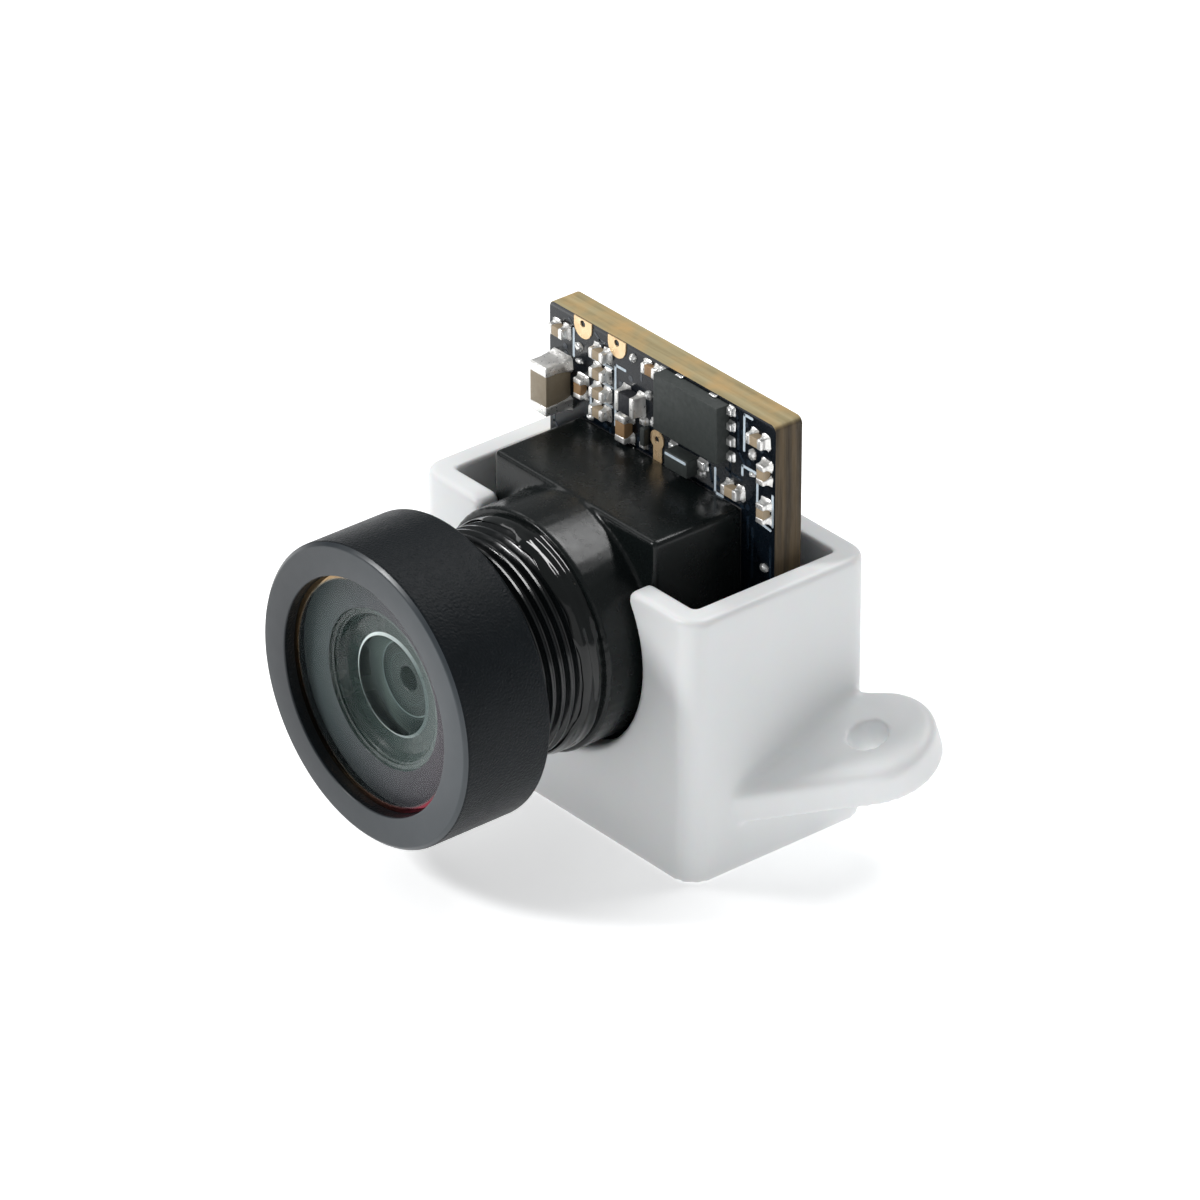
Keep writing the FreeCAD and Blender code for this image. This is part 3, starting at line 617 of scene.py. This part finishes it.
add_piece("cradle_moulding", moulded("cradle_moulding", CRADLE_NODES, CRADLE_VOXEL_MM, CRADLE_ROUNDS),
          [WHITE], MOUNT, CRADLE_NODES, NO_SHARP_EDGES)
add_piece("holder_moulding", moulded("holder_moulding", HOLDER_NODES, HOLDER_VOXEL_MM, HOLDER_ROUNDS),
          [HOLDER], MOUNT, HOLDER_NODES, NO_SHARP_EDGES)


# ---- pieces turned round the lens axis ----
BARREL_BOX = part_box("lens_barrel")
POLE = 0.1 * MICRON
LATHE_SEGMENTS = 160


def soften(profile, steps=4):
    """Rounds an outline's corners. Each row: radius, y and the corner's own rounding."""
    made = []
    count = len(profile)
    for index, (radius, y, rounding) in enumerate(profile):
        here = Vector((radius, y))
        before = Vector(profile[index - 1][:2]) - here
        after = Vector(profile[(index + 1) % count][:2]) - here
        reach = min(rounding, 0.45 * before.length, 0.45 * after.length)
        if reach < POLE:
            made.append((radius, y))
            continue
        first = here + before.normalized() * reach
        last = here + after.normalized() * reach
        for step in range(steps + 1):
            t = step / steps
            point = first * (1 - t) ** 2 + here * 2 * t * (1 - t) + last * t * t
            made.append(tuple(point))
    return made


def on_axis(radius, y, angle):
    return Vector((radius * math.sin(angle), y, AXIS_Z + radius * math.cos(angle)))


def lathe(profile, closed=True, material_of=None):
    """Turns an outline of radius and y round the lens axis."""
    bm = bmesh.new()
    rings = []
    for radius, y in profile:
        if radius < POLE:
            rings.append([bm.verts.new(on_axis(0, y, 0))])
        else:
            rings.append([bm.verts.new(on_axis(radius, y, TURN * step / LATHE_SEGMENTS))
                          for step in range(LATHE_SEGMENTS)])
    pairs = list(zip(rings, rings[1:]))
    if closed:
        pairs.append((rings[-1], rings[0]))
    for index, (first, second) in enumerate(pairs):
        for step in range(LATHE_SEGMENTS):
            after = (step + 1) % LATHE_SEGMENTS
            corners = [first[step % len(first)], first[after % len(first)],
                       second[after % len(second)], second[step % len(second)]]
            face_corners = list(dict.fromkeys(corners))
            if len(face_corners) > 2:
                face = bm.faces.new(face_corners)
                if material_of:
                    face.material_index = material_of(profile[index])
    return bm


def dome(edge_radius, edge_y, apex_y, steps=24):
    """Points on a shallow bowl's outline, from the lens axis out to its edge."""
    sag = edge_y - apex_y
    return [(edge_radius * step / steps, edge_y - sag * (1 - (step / steps) ** 2))
            for step in range(steps + 1)]


# ---- lens barrel: a wide head and a stem with a right-hand thread ----
FRONT_GLASS_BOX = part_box("front_element")
GLASS_GAP = 0.03 * MM
SEAT_RADIUS = FRONT_GLASS_BOX[1].x + GLASS_GAP
HEAD_RADIUS = BARREL_BOX[1].x
HEAD_FRONT_Y = BARREL_BOX[0].y
NOSE_END_Y = BARREL_BOX[1].y
HEAD_LENGTH = 3.16 * MM
HEAD_REAR_Y = HEAD_FRONT_Y + HEAD_LENGTH
HEAD_FRONT_CHAMFER = 0.13 * MM
HEAD_REAR_CHAMFER = 0.10 * MM
HEAD_EDGE = 0.05 * MM
THREAD_PITCH = 0.35 * MM
THREAD_MAJOR_RADIUS = 3.50 * MM
THREAD_DEPTH = 0.17 * MM
THREAD_ROOT_RADIUS = THREAD_MAJOR_RADIUS - THREAD_DEPTH
THREAD_START_Y = HEAD_REAR_Y + 0.10 * MM
THREAD_END_Y = NOSE_END_Y - 0.90 * MM
THREAD_FADE = 0.15 * MM
NOSE_RADIUS = 3.05 * MM
NOSE_CHAMFER = 0.08 * MM
RING_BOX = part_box("rear_retaining_ring")
RING_SEAT_RADIUS = RING_BOX[1].x
STEM_BORE_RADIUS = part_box("second_element")[1].x + GLASS_GAP
SEAT_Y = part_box("baffle_ring")[0].y + 0.30 * MM

# One pitch of the thread: place along the pitch, and height above its root.
THREAD_SHAPE = ((0.0, 0.0), (0.12, 0.08), (0.33, 0.86), (0.40, 1.0), (0.60, 1.0), (0.67, 0.86),
                (0.88, 0.08))


def barrel_head():
    profile = soften([
        (SEAT_RADIUS, HEAD_FRONT_Y, HEAD_EDGE),
        (HEAD_RADIUS - HEAD_FRONT_CHAMFER, HEAD_FRONT_Y, 0.8 * HEAD_EDGE),
        (HEAD_RADIUS, HEAD_FRONT_Y + HEAD_FRONT_CHAMFER, 0.8 * HEAD_EDGE),
        (HEAD_RADIUS, HEAD_REAR_Y - HEAD_REAR_CHAMFER, HEAD_EDGE),
        (HEAD_RADIUS - HEAD_REAR_CHAMFER, HEAD_REAR_Y, HEAD_EDGE),
        (THREAD_ROOT_RADIUS, HEAD_REAR_Y, HEAD_EDGE),
        (THREAD_ROOT_RADIUS, THREAD_START_Y, 0),
        (STEM_BORE_RADIUS, THREAD_START_Y, 0),
        (STEM_BORE_RADIUS, SEAT_Y, 0),
        (SEAT_RADIUS, SEAT_Y, 0),
    ])

    def material_of(point):
        return 0 if point[1] < HEAD_FRONT_Y + 0.5 * HEAD_FRONT_CHAMFER else 1

    return from_bmesh("barrel_head", lathe(profile, material_of=material_of))


def smooth_step(value):
    value = min(1, max(0, value))
    return value * value * (3 - 2 * value)


def barrel_stem():
    bm = bmesh.new()
    turns = math.ceil((THREAD_END_Y - THREAD_START_Y) / THREAD_PITCH) + 1
    shape = [(turn + part, height) for turn in range(-1, turns) for part, height in THREAD_SHAPE]
    rows = []
    for step in range(LATHE_SEGMENTS + 1):
        angle = TURN * step / LATHE_SEGMENTS
        row = [on_axis(STEM_BORE_RADIUS, THREAD_START_Y, angle)]
        for along, height in shape:
            y = THREAD_START_Y + (along + step / LATHE_SEGMENTS) * THREAD_PITCH
            y = min(THREAD_END_Y, max(THREAD_START_Y, y))
            fade = (smooth_step((y - THREAD_START_Y) / THREAD_FADE)
                    * smooth_step((THREAD_END_Y - y) / THREAD_FADE))
            row.append(on_axis(THREAD_ROOT_RADIUS + THREAD_DEPTH * height * fade, y, angle))
        for radius, y in ((NOSE_RADIUS, THREAD_END_Y + 0.10 * MM), (NOSE_RADIUS, NOSE_END_Y - NOSE_CHAMFER),
                          (NOSE_RADIUS - NOSE_CHAMFER, NOSE_END_Y), (RING_SEAT_RADIUS, NOSE_END_Y),
                          (RING_SEAT_RADIUS, RING_BOX[0].y), (STEM_BORE_RADIUS, RING_BOX[0].y)):
            row.append(on_axis(radius, y, angle))
        rows.append([bm.verts.new(point) for point in row])
    for row, after in zip(rows, rows[1:]):
        bridge(bm, row, after)
    bmesh.ops.remove_doubles(bm, verts=bm.verts, dist=10 * WELD)
    bmesh.ops.dissolve_degenerate(bm, edges=bm.edges, dist=10 * WELD)
    return from_bmesh("barrel_stem", bm)


add_piece("barrel_head", barrel_head(), [FACE, LEATHER], BARREL, ("lens_barrel",))
add_piece("barrel_stem", barrel_stem(), [THREAD], BARREL, ("lens_barrel",))

# ---- glass, baffle and stop ----
FRONT_GLASS_EDGE = 0.20 * MM
HOLLOW_RADIUS = 2.50 * MM
HOLLOW_DEPTH = 0.25 * MM
FACE_RADIUS = 1.62 * MM
FACE_BULGE = 0.34 * MM
BEVEL_WIDTH = 0.09 * MM
BEVEL_DEPTH = 0.05 * MM
SECOND_HOLLOW_RADIUS = 1.80 * MM
SECOND_HOLLOW_DEPTH = 0.40 * MM
SPACER_BORE_RADIUS = 1.90 * MM
STOP_THICKNESS = 0.12 * MM
STOP_HOLE_RADIUS = 0.38 * MM
STOP_HOLE_EDGE = 0.03 * MM
REAR_FACE_RADIUS = 1.85 * MM
REAR_BULGE = 0.30 * MM


def front_glass():
    low, high = FRONT_GLASS_BOX
    edge_y = low.y + FRONT_GLASS_EDGE
    profile = dome(high.x, edge_y, low.y)
    profile += reversed(dome(HOLLOW_RADIUS, high.y, high.y - HOLLOW_DEPTH))
    return from_bmesh("front_glass", lathe(profile, closed=False))


def baffle():
    """A flat face, a double groove, then a glossy cone that leads in to the second element."""
    low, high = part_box("baffle_ring")
    front_y = low.y + 0.01 * MM
    inner_rear = 2.10 * MM
    groove = 0.07 * MM
    profile = soften([
        (high.x, front_y, 0.0),
        (high.x, SEAT_Y - 0.02 * MM, 0.0),
        (STEM_BORE_RADIUS - GLASS_GAP, SEAT_Y - 0.02 * MM, 0.0),
        (STEM_BORE_RADIUS - GLASS_GAP, high.y, 0.0),
        (inner_rear, high.y, 0.01 * MM),
        (inner_rear + 0.10 * MM, high.y - 0.12 * MM, 0.05 * MM),
        (inner_rear + 0.17 * MM, high.y - 0.26 * MM, 0.03 * MM),
        (inner_rear + 0.24 * MM, high.y - 0.26 * MM, 0.01 * MM),
        (inner_rear + 0.24 * MM, front_y + groove, 0.01 * MM),
        (HOLLOW_RADIUS - 0.03 * MM, front_y + groove, 0.01 * MM),
        (HOLLOW_RADIUS, front_y, 0.02 * MM),
    ])

    def material_of(point):
        return 0 if point[0] > HOLLOW_RADIUS - 0.01 * MM and point[1] < front_y + 0.01 * MM else 1

    return from_bmesh("baffle_steps", lathe(profile, material_of=material_of))


def second_glass():
    low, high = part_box("second_element")
    rim_y = low.y + FACE_BULGE
    bevel_y = rim_y - BEVEL_DEPTH
    profile = dome(FACE_RADIUS - BEVEL_WIDTH, bevel_y, low.y)
    profile += [(FACE_RADIUS, rim_y), (high.x, rim_y + POLE), (high.x, high.y)]
    profile += reversed(dome(SECOND_HOLLOW_RADIUS, high.y, high.y - SECOND_HOLLOW_DEPTH))

    def material_of(point):
        if point[1] > rim_y + 2 * POLE or point[0] < FACE_RADIUS - BEVEL_WIDTH - POLE:
            return 0
        return 1 if point[1] < rim_y - POLE else 2

    return from_bmesh("second_glass", lathe(profile, closed=False, material_of=material_of))


def stop_tube():
    low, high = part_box("aperture_stop")
    wall_rear = low.y + STOP_THICKNESS
    profile = soften([
        (SPACER_BORE_RADIUS, wall_rear, 0),
        (STOP_HOLE_RADIUS, wall_rear, 0),
        (STOP_HOLE_RADIUS, low.y + STOP_HOLE_EDGE, 0),
        (STOP_HOLE_RADIUS + STOP_HOLE_EDGE, low.y, 0.01 * MM),
        (high.x, low.y, 0),
        (high.x, high.y, 0),
        (SPACER_BORE_RADIUS, high.y, 0),
    ])

    def material_of(point):
        return 0 if point[1] < low.y + POLE and point[0] < high.x - POLE else 1

    return from_bmesh("stop_tube", lathe(profile, material_of=material_of))


def rear_glass():
    low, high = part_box("rear_element")
    rim_y = low.y + REAR_BULGE
    profile = dome(REAR_FACE_RADIUS, rim_y, low.y)
    profile += [(high.x, rim_y), (high.x, high.y)]
    profile += reversed(dome(REAR_FACE_RADIUS, high.y, high.y - REAR_BULGE))
    return from_bmesh("rear_glass", lathe(profile, closed=False))


add_piece("front_glass", front_glass(), [FRONT_GLASS], OPTICS, ("front_element",))
add_piece("baffle_steps", baffle(), [BAFFLE_FACE, BAFFLE_CONE], OPTICS, ("baffle_ring",))
add_piece("second_glass", second_glass(), [DOME_GLASS, GROUND_BEVEL_PAINTED_GLOW, BAFFLE_CONE], OPTICS,
          ("second_element",))
add_piece("stop_tube", stop_tube(), [IRIS_PLATE, STOP], OPTICS, ("aperture_stop",))
add_piece("rear_glass", rear_glass(), [INNER_GLASS], OPTICS, ("rear_element",))

# ---- sealing bead between the collar and the thread ----
SEAL_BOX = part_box("thread_seal")
SEAL_GAP = 0.03 * MM
SEAL_INNER_RADIUS = THREAD_MAJOR_RADIUS + SEAL_GAP
SEAL_SEED = 11
# Waves along the bead's front edge: how many round the collar, and their share of its size.
SEAL_WAVES = ((5, 0.04), (8, 0.05), (13, 0.04), (21, 0.02))
# Share of the bead's full size at angles round the collar, clockwise from the top as seen
# from in front of the lens.
SEAL_STATIONS = ((0, 0.62), (12, 0.95), (45, 0.92), (80, 0.80), (110, 0.88), (140, 0.96), (152, 0.98),
                 (166, 0.55), (230, 0.60), (290, 0.50), (335, 0.42), (360, 0.62))
SEAL_RIDGE = 0.010 * MM
SEAL_ROWS = 30


def seal_share(degrees):
    for (start, low), (end, high) in zip(SEAL_STATIONS, SEAL_STATIONS[1:]):
        if degrees <= end:
            return low + (high - low) * smooth_step((degrees - start) / (end - start))


def seal_bead():
    """Lacquer smeared from the collar's mouth over the last turns of the thread."""
    draw = random.Random(SEAL_SEED)
    waves = [(count, size, draw.uniform(0, TURN)) for count, size in SEAL_WAVES]
    low, high = SEAL_BOX
    length = high.y - low.y
    width = high.x - SEAL_INNER_RADIUS
    bm = bmesh.new()
    rings = []
    for step in range(LATHE_SEGMENTS):
        angle = TURN * step / LATHE_SEGMENTS
        swell = seal_share(360 * step / LATHE_SEGMENTS)
        swell += sum(size * math.sin(count * angle + shift) for count, size, shift in waves)
        swell = min(1, swell)
        ring = [bm.verts.new(on_axis(SEAL_INNER_RADIUS, high.y, angle))]
        for part in range(SEAL_ROWS + 1):
            share = part / SEAL_ROWS
            y = high.y - length * swell * share
            fall = (1 - share ** 3) ** 0.6
            ridge = SEAL_RIDGE * math.sin(TURN * (y - high.y) / THREAD_PITCH - angle) * fall
            radius = SEAL_INNER_RADIUS + (width - 2 * SEAL_RIDGE) * swell * fall + ridge * swell
            ring.append(bm.verts.new(on_axis(max(radius, SEAL_INNER_RADIUS), y, angle)))
        rings.append(ring)
    for ring, after in zip(rings, rings[1:] + rings[:1]):
        bridge(bm, ring, after)
    return from_bmesh("seal_bead", bm)


add_piece("seal_bead", seal_bead(), [SEAL], MOUNT, ("thread_seal",))

# ---- circuit board ----
BOARD_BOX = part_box("circuit_board")
BOARD_FRONT_Y = BOARD_BOX[0].y
BOARD_CORNER = 0.18 * MM
BOARD_EDGE = 0.02 * MM
BOARD_SEED = 4
DRAW = random.Random(BOARD_SEED)


def add_box(bm, low, high, rounding):
    """A box with rounded edges."""
    part = bmesh.new()
    size = high - low
    made = bmesh.ops.create_cube(part, size=1)
    bmesh.ops.scale(part, vec=size, verts=made["verts"])
    bmesh.ops.translate(part, vec=(low + high) / 2, verts=made["verts"])
    reach = min(rounding, 0.45 * min(size))
    bmesh.ops.bevel(part, geom=part.edges[:], offset=reach, segments=3, profile=0.5,
                    affect="EDGES")
    mesh = bpy.data.meshes.new("part")
    part.to_mesh(mesh)
    part.free()
    bm.from_mesh(mesh)
    bpy.data.meshes.remove(mesh)


def add_prism(bm, outline, y_front, y_back, material=0):
    """A plate with an outline of (x, z) points."""
    front = [bm.verts.new((x, y_front, z)) for x, z in outline]
    back = [bm.verts.new((x, y_back, z)) for x, z in outline]
    faces = [bm.faces.new(front), bm.faces.new(reversed(back))]
    for index in range(len(outline)):
        after = (index + 1) % len(outline)
        faces.append(bm.faces.new((front[after], front[index], back[index], back[after])))
    for face in faces:
        face.material_index = material


def capsule(start, end, width, steps=6):
    """The outline of a line with round ends."""
    along = (Vector(end) - Vector(start))
    heading = math.atan2(along.y, along.x)
    points = []
    for centre, turn in ((end, -0.5 * math.pi), (start, 0.5 * math.pi)):
        for step in range(steps + 1):
            angle = heading + turn + math.pi * step / steps
            points.append((centre[0] + 0.5 * width * math.cos(angle),
                           centre[1] + 0.5 * width * math.sin(angle)))
    return points


def board():
    """A plate with rounded top corners: masked faces and bare laminate edges."""
    low, high = BOARD_BOX
    steps = 5
    centre_z = high.z - BOARD_CORNER
    outline = [(low.x, low.z), (high.x, low.z)]
    for centre_x, start in ((high.x - BOARD_CORNER, 0), (low.x + BOARD_CORNER, 0.5 * math.pi)):
        for step in range(steps + 1):
            angle = start + 0.5 * math.pi * step / steps
            outline.append((centre_x + BOARD_CORNER * math.cos(angle),
                            centre_z + BOARD_CORNER * math.sin(angle)))
    bm = bmesh.new()
    add_prism(bm, outline, low.y, high.y, 1)
    for face in bm.faces:
        if len(face.verts) > 4:
            face.material_index = 0
    outer = [edge for edge in bm.edges if abs(edge.verts[0].co.y - edge.verts[1].co.y) < WELD]
    bmesh.ops.bevel(bm, geom=outer, offset=BOARD_EDGE, segments=2, profile=0.5, affect="EDGES",
                    material=1)
    return from_bmesh("board_laminate", bm)


add_piece("board_laminate", board(), [MASK, LAMINATE], MOUNT, ("circuit_board",))

# Printed white lines: x and z of each end, in millimetres.
SILK_LINES = (
    (3.71, 12.03, 3.71, 13.20), (3.71, 13.20, 4.05, 13.20), (3.64, 11.50, 4.31, 11.50),
    (3.64, 11.20, 3.64, 11.50), (2.44, 10.10, 2.44, 10.90), (2.44, 10.10, 2.78, 10.10),
    (4.31, 9.97, 4.31, 11.16), (4.31, 9.97, 4.90, 9.89), (-2.07, 10.42, -2.07, 12.42),
    (-2.07, 12.42, -1.62, 12.42), (-3.20, 10.38, -3.20, 11.05),
    (-3.98, 11.95, -3.98, 12.85), (4.98, 10.05, 4.98, 11.05), (0.52, 11.20, 0.98, 11.20),
    (-3.16, 11.60, -2.24, 11.60), (-3.16, 10.96, -2.24, 10.96), (-3.16, 12.24, -2.24, 12.24),
)
SILK_WIDTH = 0.088 * MM
SILK_HEIGHT = 0.012 * MM
# Copper tracks under the mask: x and z of each point, in millimetres.
TRACKS = (
    ((-4.9, 10.0), (-4.9, 9.4), (-4.3, 8.8)), ((-2.3, 9.9), (-2.3, 10.3), (-1.9, 10.7)),
    ((-4.2, 13.1), (-4.0, 12.9), (-4.0, 12.2)), ((0.1, 13.1), (0.1, 11.9), (-0.1, 11.6)),
    ((3.3, 13.1), (3.45, 12.9), (3.45, 11.9), (3.9, 11.4)), ((2.9, 11.1), (3.6, 11.0)),
    ((4.9, 9.3), (4.9, 8.2), (4.6, 7.9)), ((4.1, 9.6), (4.1, 8.0)), ((3.9, 9.9), (3.9, 8.9)),
    ((-3.0, 13.1), (-2.8, 12.95), (-2.2, 12.95)), ((0.6, 10.3), (1.1, 10.9), (2.2, 10.9)),
    ((2.1, 11.2), (2.3, 10.4), (2.9, 10.2)), ((-0.9, 12.4), (-0.9, 12.8)), ((3.1, 11.6), (3.1, 10.9)),
)
TRACK_WIDTH = 0.09 * MM
TRACK_HEIGHT = 0.008 * MM
VIA_RADIUS = 0.10 * MM
VIA_COUNT = 46
VIA_CORNERS = 12
VIA_MARGIN = 0.3 * MM
VIA_LOWEST_Z = 9.9 * MM


def silk_print_and_painted_glint():
    bm = bmesh.new()
    for x0, z0, x1, z1 in SILK_LINES:
        outline = capsule((x0 * MM, z0 * MM), (x1 * MM, z1 * MM), SILK_WIDTH)
        add_prism(bm, outline, BOARD_FRONT_Y - SILK_HEIGHT, BOARD_FRONT_Y)
    # The largest of the small packages has a pale band along its upper edge, drawn in silk ink: a painted
    # glint where that edge catches the light.
    low, high = max(islands("small_packages"), key=lambda box: box[1].x)
    band_z = high.z - 0.08 * MM
    band = capsule((low.x + 0.08 * MM, band_z), (high.x - 0.08 * MM, band_z), SILK_WIDTH)
    add_prism(bm, band, low.y - SILK_HEIGHT, low.y)
    return from_bmesh("silk_print_and_painted_glint", bm)


def copper_tracks():
    bm = bmesh.new()
    for points in TRACKS:
        for (x0, z0), (x1, z1) in zip(points, points[1:]):
            outline = capsule((x0 * MM, z0 * MM), (x1 * MM, z1 * MM), TRACK_WIDTH)
            add_prism(bm, outline, BOARD_FRONT_Y - TRACK_HEIGHT, BOARD_FRONT_Y)
    low, high = BOARD_BOX
    angles = [TURN * step / VIA_CORNERS for step in range(VIA_CORNERS)]
    for _ in range(VIA_COUNT):
        x = DRAW.uniform(low.x + VIA_MARGIN, high.x - VIA_MARGIN)
        z = DRAW.uniform(VIA_LOWEST_Z, high.z - VIA_MARGIN)
        outline = [(x + VIA_RADIUS * math.cos(angle), z + VIA_RADIUS * math.sin(angle))
                   for angle in angles]
        add_prism(bm, outline, BOARD_FRONT_Y - TRACK_HEIGHT, BOARD_FRONT_Y)
    return from_bmesh("copper_tracks", bm)


add_piece("silk_print_and_painted_glint", silk_print_and_painted_glint(), [SILK_AND_PAINTED_GLINT], MOUNT, ())
add_piece("copper_tracks", copper_tracks(), [COPPER_UNDER_MASK], MOUNT, ())

# ---- chip parts: a body between two wrap-round metal ends, on skirts of solder ----
BODY_INSET = 0.014 * MM
END_OVERLAP = 0.025 * MM
END_ROUNDING = 0.045 * MM
BODY_ROUNDING = 0.02 * MM
SKIRT_SPREAD = 0.09 * MM
SKIRT_CORNER = 0.02 * MM
SKIRT_STEPS = 5
SKIRT_POINTS = 7


def add_skirt(bm, low, high, spread, rise):
    """A concave skirt of solder round the foot of a metal end."""
    centre = (low + high) / 2
    half = (high - low) / 2
    wobble = [DRAW.uniform(0.75, 1.25) for _ in range(4 * SKIRT_POINTS)]
    rings = []
    for level in range(SKIRT_STEPS + 1):
        share = level / SKIRT_STEPS
        ring = []
        for index in range(4 * SKIRT_POINTS):
            quarter, step = divmod(index, SKIRT_POINTS)
            angle = 0.5 * math.pi * (quarter + step / (SKIRT_POINTS - 1))
            out = spread * wobble[index] * (1 - share) ** 2
            corner = SKIRT_CORNER + out
            side_x = 1 if quarter in (0, 3) else -1
            side_z = 1 if quarter in (0, 1) else -1
            x = centre.x + side_x * (half.x - SKIRT_CORNER) + corner * math.cos(angle)
            z = centre.z + side_z * (half.z - SKIRT_CORNER) + corner * math.sin(angle)
            ring.append(bm.verts.new((x, BOARD_FRONT_Y - rise * share, z)))
        rings.append(ring)
    for ring, above in zip(rings, rings[1:]):
        bridge(bm, ring, above)
    bm.faces.new(rings[0])
    bm.faces.new(rings[-1])


def paired_ends(body_box, end_boxes):
    """The two metal ends that lie nearest to a chip part's body."""
    middle = centre_of(body_box)
    return sorted(end_boxes, key=lambda box: (centre_of(box) - middle).length)[:2]


def chip_parts(name, body_node, ends_node, body_material):
    bodies, ends = bmesh.new(), bmesh.new()
    end_boxes = islands(ends_node)
    for box in islands(body_node):
        pair = paired_ends(box, end_boxes)
        between = centre_of(pair[1]) - centre_of(pair[0])
        axis = 0 if abs(between.x) > abs(between.z) else 2
        low, high = box[0].copy(), box[1].copy()
        for other in (0, 2):
            if other != axis:
                low[other] += BODY_INSET
                high[other] -= BODY_INSET
        low.y += BODY_INSET
        low[axis] -= END_OVERLAP
        high[axis] += END_OVERLAP
        add_box(bodies, low, high, BODY_ROUNDING)
        for end_low, end_high in pair:
            low, high = end_low.copy(), end_high.copy()
            if centre_of((low, high))[axis] < centre_of(box)[axis]:
                high[axis] += END_OVERLAP
            else:
                low[axis] -= END_OVERLAP
            add_box(ends, low, high, END_ROUNDING)
            add_skirt(ends, low, high, SKIRT_SPREAD, 0.5 * (high.y - low.y))
    add_piece(name, from_bmesh(name, bodies), [body_material], MOUNT, (body_node,))
    ends_name = name + "_metal"
    add_piece(ends_name, from_bmesh(ends_name, ends), [TIN], MOUNT, (ends_node,))


chip_parts("standing_capacitor", "large_capacitor", "large_capacitor_ends", LARGE_CERAMIC)
chip_parts("chip_capacitors", "small_capacitors", "small_capacitor_ends", SMALL_CERAMIC)
chip_parts("chip_resistors", "resistors", "resistor_ends", RESISTOR_CERAMIC)
chip_parts("chip_inductor", "inductor", "inductor_ends", FERRITE)


# ---- packages, leads and loose joints of solder ----

def boxes_piece(name, node, material, rounding, skirt=None):
    """Rounded blocks for a node's solids. A skirt that would pass the board's top is left off."""
    bm = bmesh.new()
    for low, high in islands(node):
        add_box(bm, low, high, rounding)
        if skirt and high.z + 1.3 * skirt < BOARD_BOX[1].z:
            add_skirt(bm, low, high, skirt, 0.8 * (high.y - low.y))
    add_piece(name, from_bmesh(name, bm), [material], MOUNT, (node,))


PACKAGE_ROUNDING = 0.03 * MM
LEAD_ROUNDING = 0.05 * MM
LEAD_SKIRT = 0.05 * MM

boxes_piece("memory_package", "memory_chip", EPOXY, PACKAGE_ROUNDING)
boxes_piece("memory_leads", "memory_chip_leads", SOLDER, LEAD_ROUNDING, LEAD_SKIRT)
boxes_piece("small_packages_moulded", "small_packages", EPOXY, PACKAGE_ROUNDING)
boxes_piece("small_package_leads", "package_leads", SOLDER, LEAD_ROUNDING, LEAD_SKIRT)
boxes_piece("processor_package", "rear_processor", EPOXY, 0.05 * MM)
boxes_piece("sensor_body", "image_sensor", SENSOR, 0.04 * MM)
boxes_piece("sensor_cover", "sensor_window", CLEAR_GLASS, 0.02 * MM)
boxes_piece("filter_plate", "infrared_filter", FILTER_GLASS, 0.02 * MM)


def solder_drops():
    bm = bmesh.new()
    around, up = 18, 7
    for low, high in islands("solder_joints"):
        centre = centre_of((low, high))
        half = (high - low) / 2
        lumps = [DRAW.uniform(0.82, 1.0) for _ in range(around)]
        rings = []
        for level in range(up):
            tilt = 0.5 * math.pi * level / up
            ring = []
            for step in range(around):
                angle = TURN * step / around
                reach = math.cos(tilt) * lumps[step]
                ring.append(bm.verts.new((centre.x + half.x * reach * math.cos(angle),
                                          high.y - (high.y - low.y) * math.sin(tilt),
                                          centre.z + half.z * reach * math.sin(angle))))
            rings.append(ring)
        top = bm.verts.new((centre.x, low.y, centre.z))
        for ring, above in zip(rings, rings[1:]):
            bridge(bm, ring, above)
        for step in range(around):
            bm.faces.new((rings[-1][step], rings[-1][(step + 1) % around], top))
        bm.faces.new(rings[0])
    return from_bmesh("solder_drops", bm)


add_piece("solder_drops", solder_drops(), [SOLDER], MOUNT, ("solder_joints",))


# ---- CAD nodes that are shown as they are ----

def finish_node(node, material):
    mesh = nodes[node].data
    mesh.materials.clear()
    mesh.materials.append(material)


finish_node("wire_pads", GOLD)
finish_node("test_pad", GOLD)
finish_node("holder_bond", BOND)
finish_node("rear_retaining_ring", THREAD)
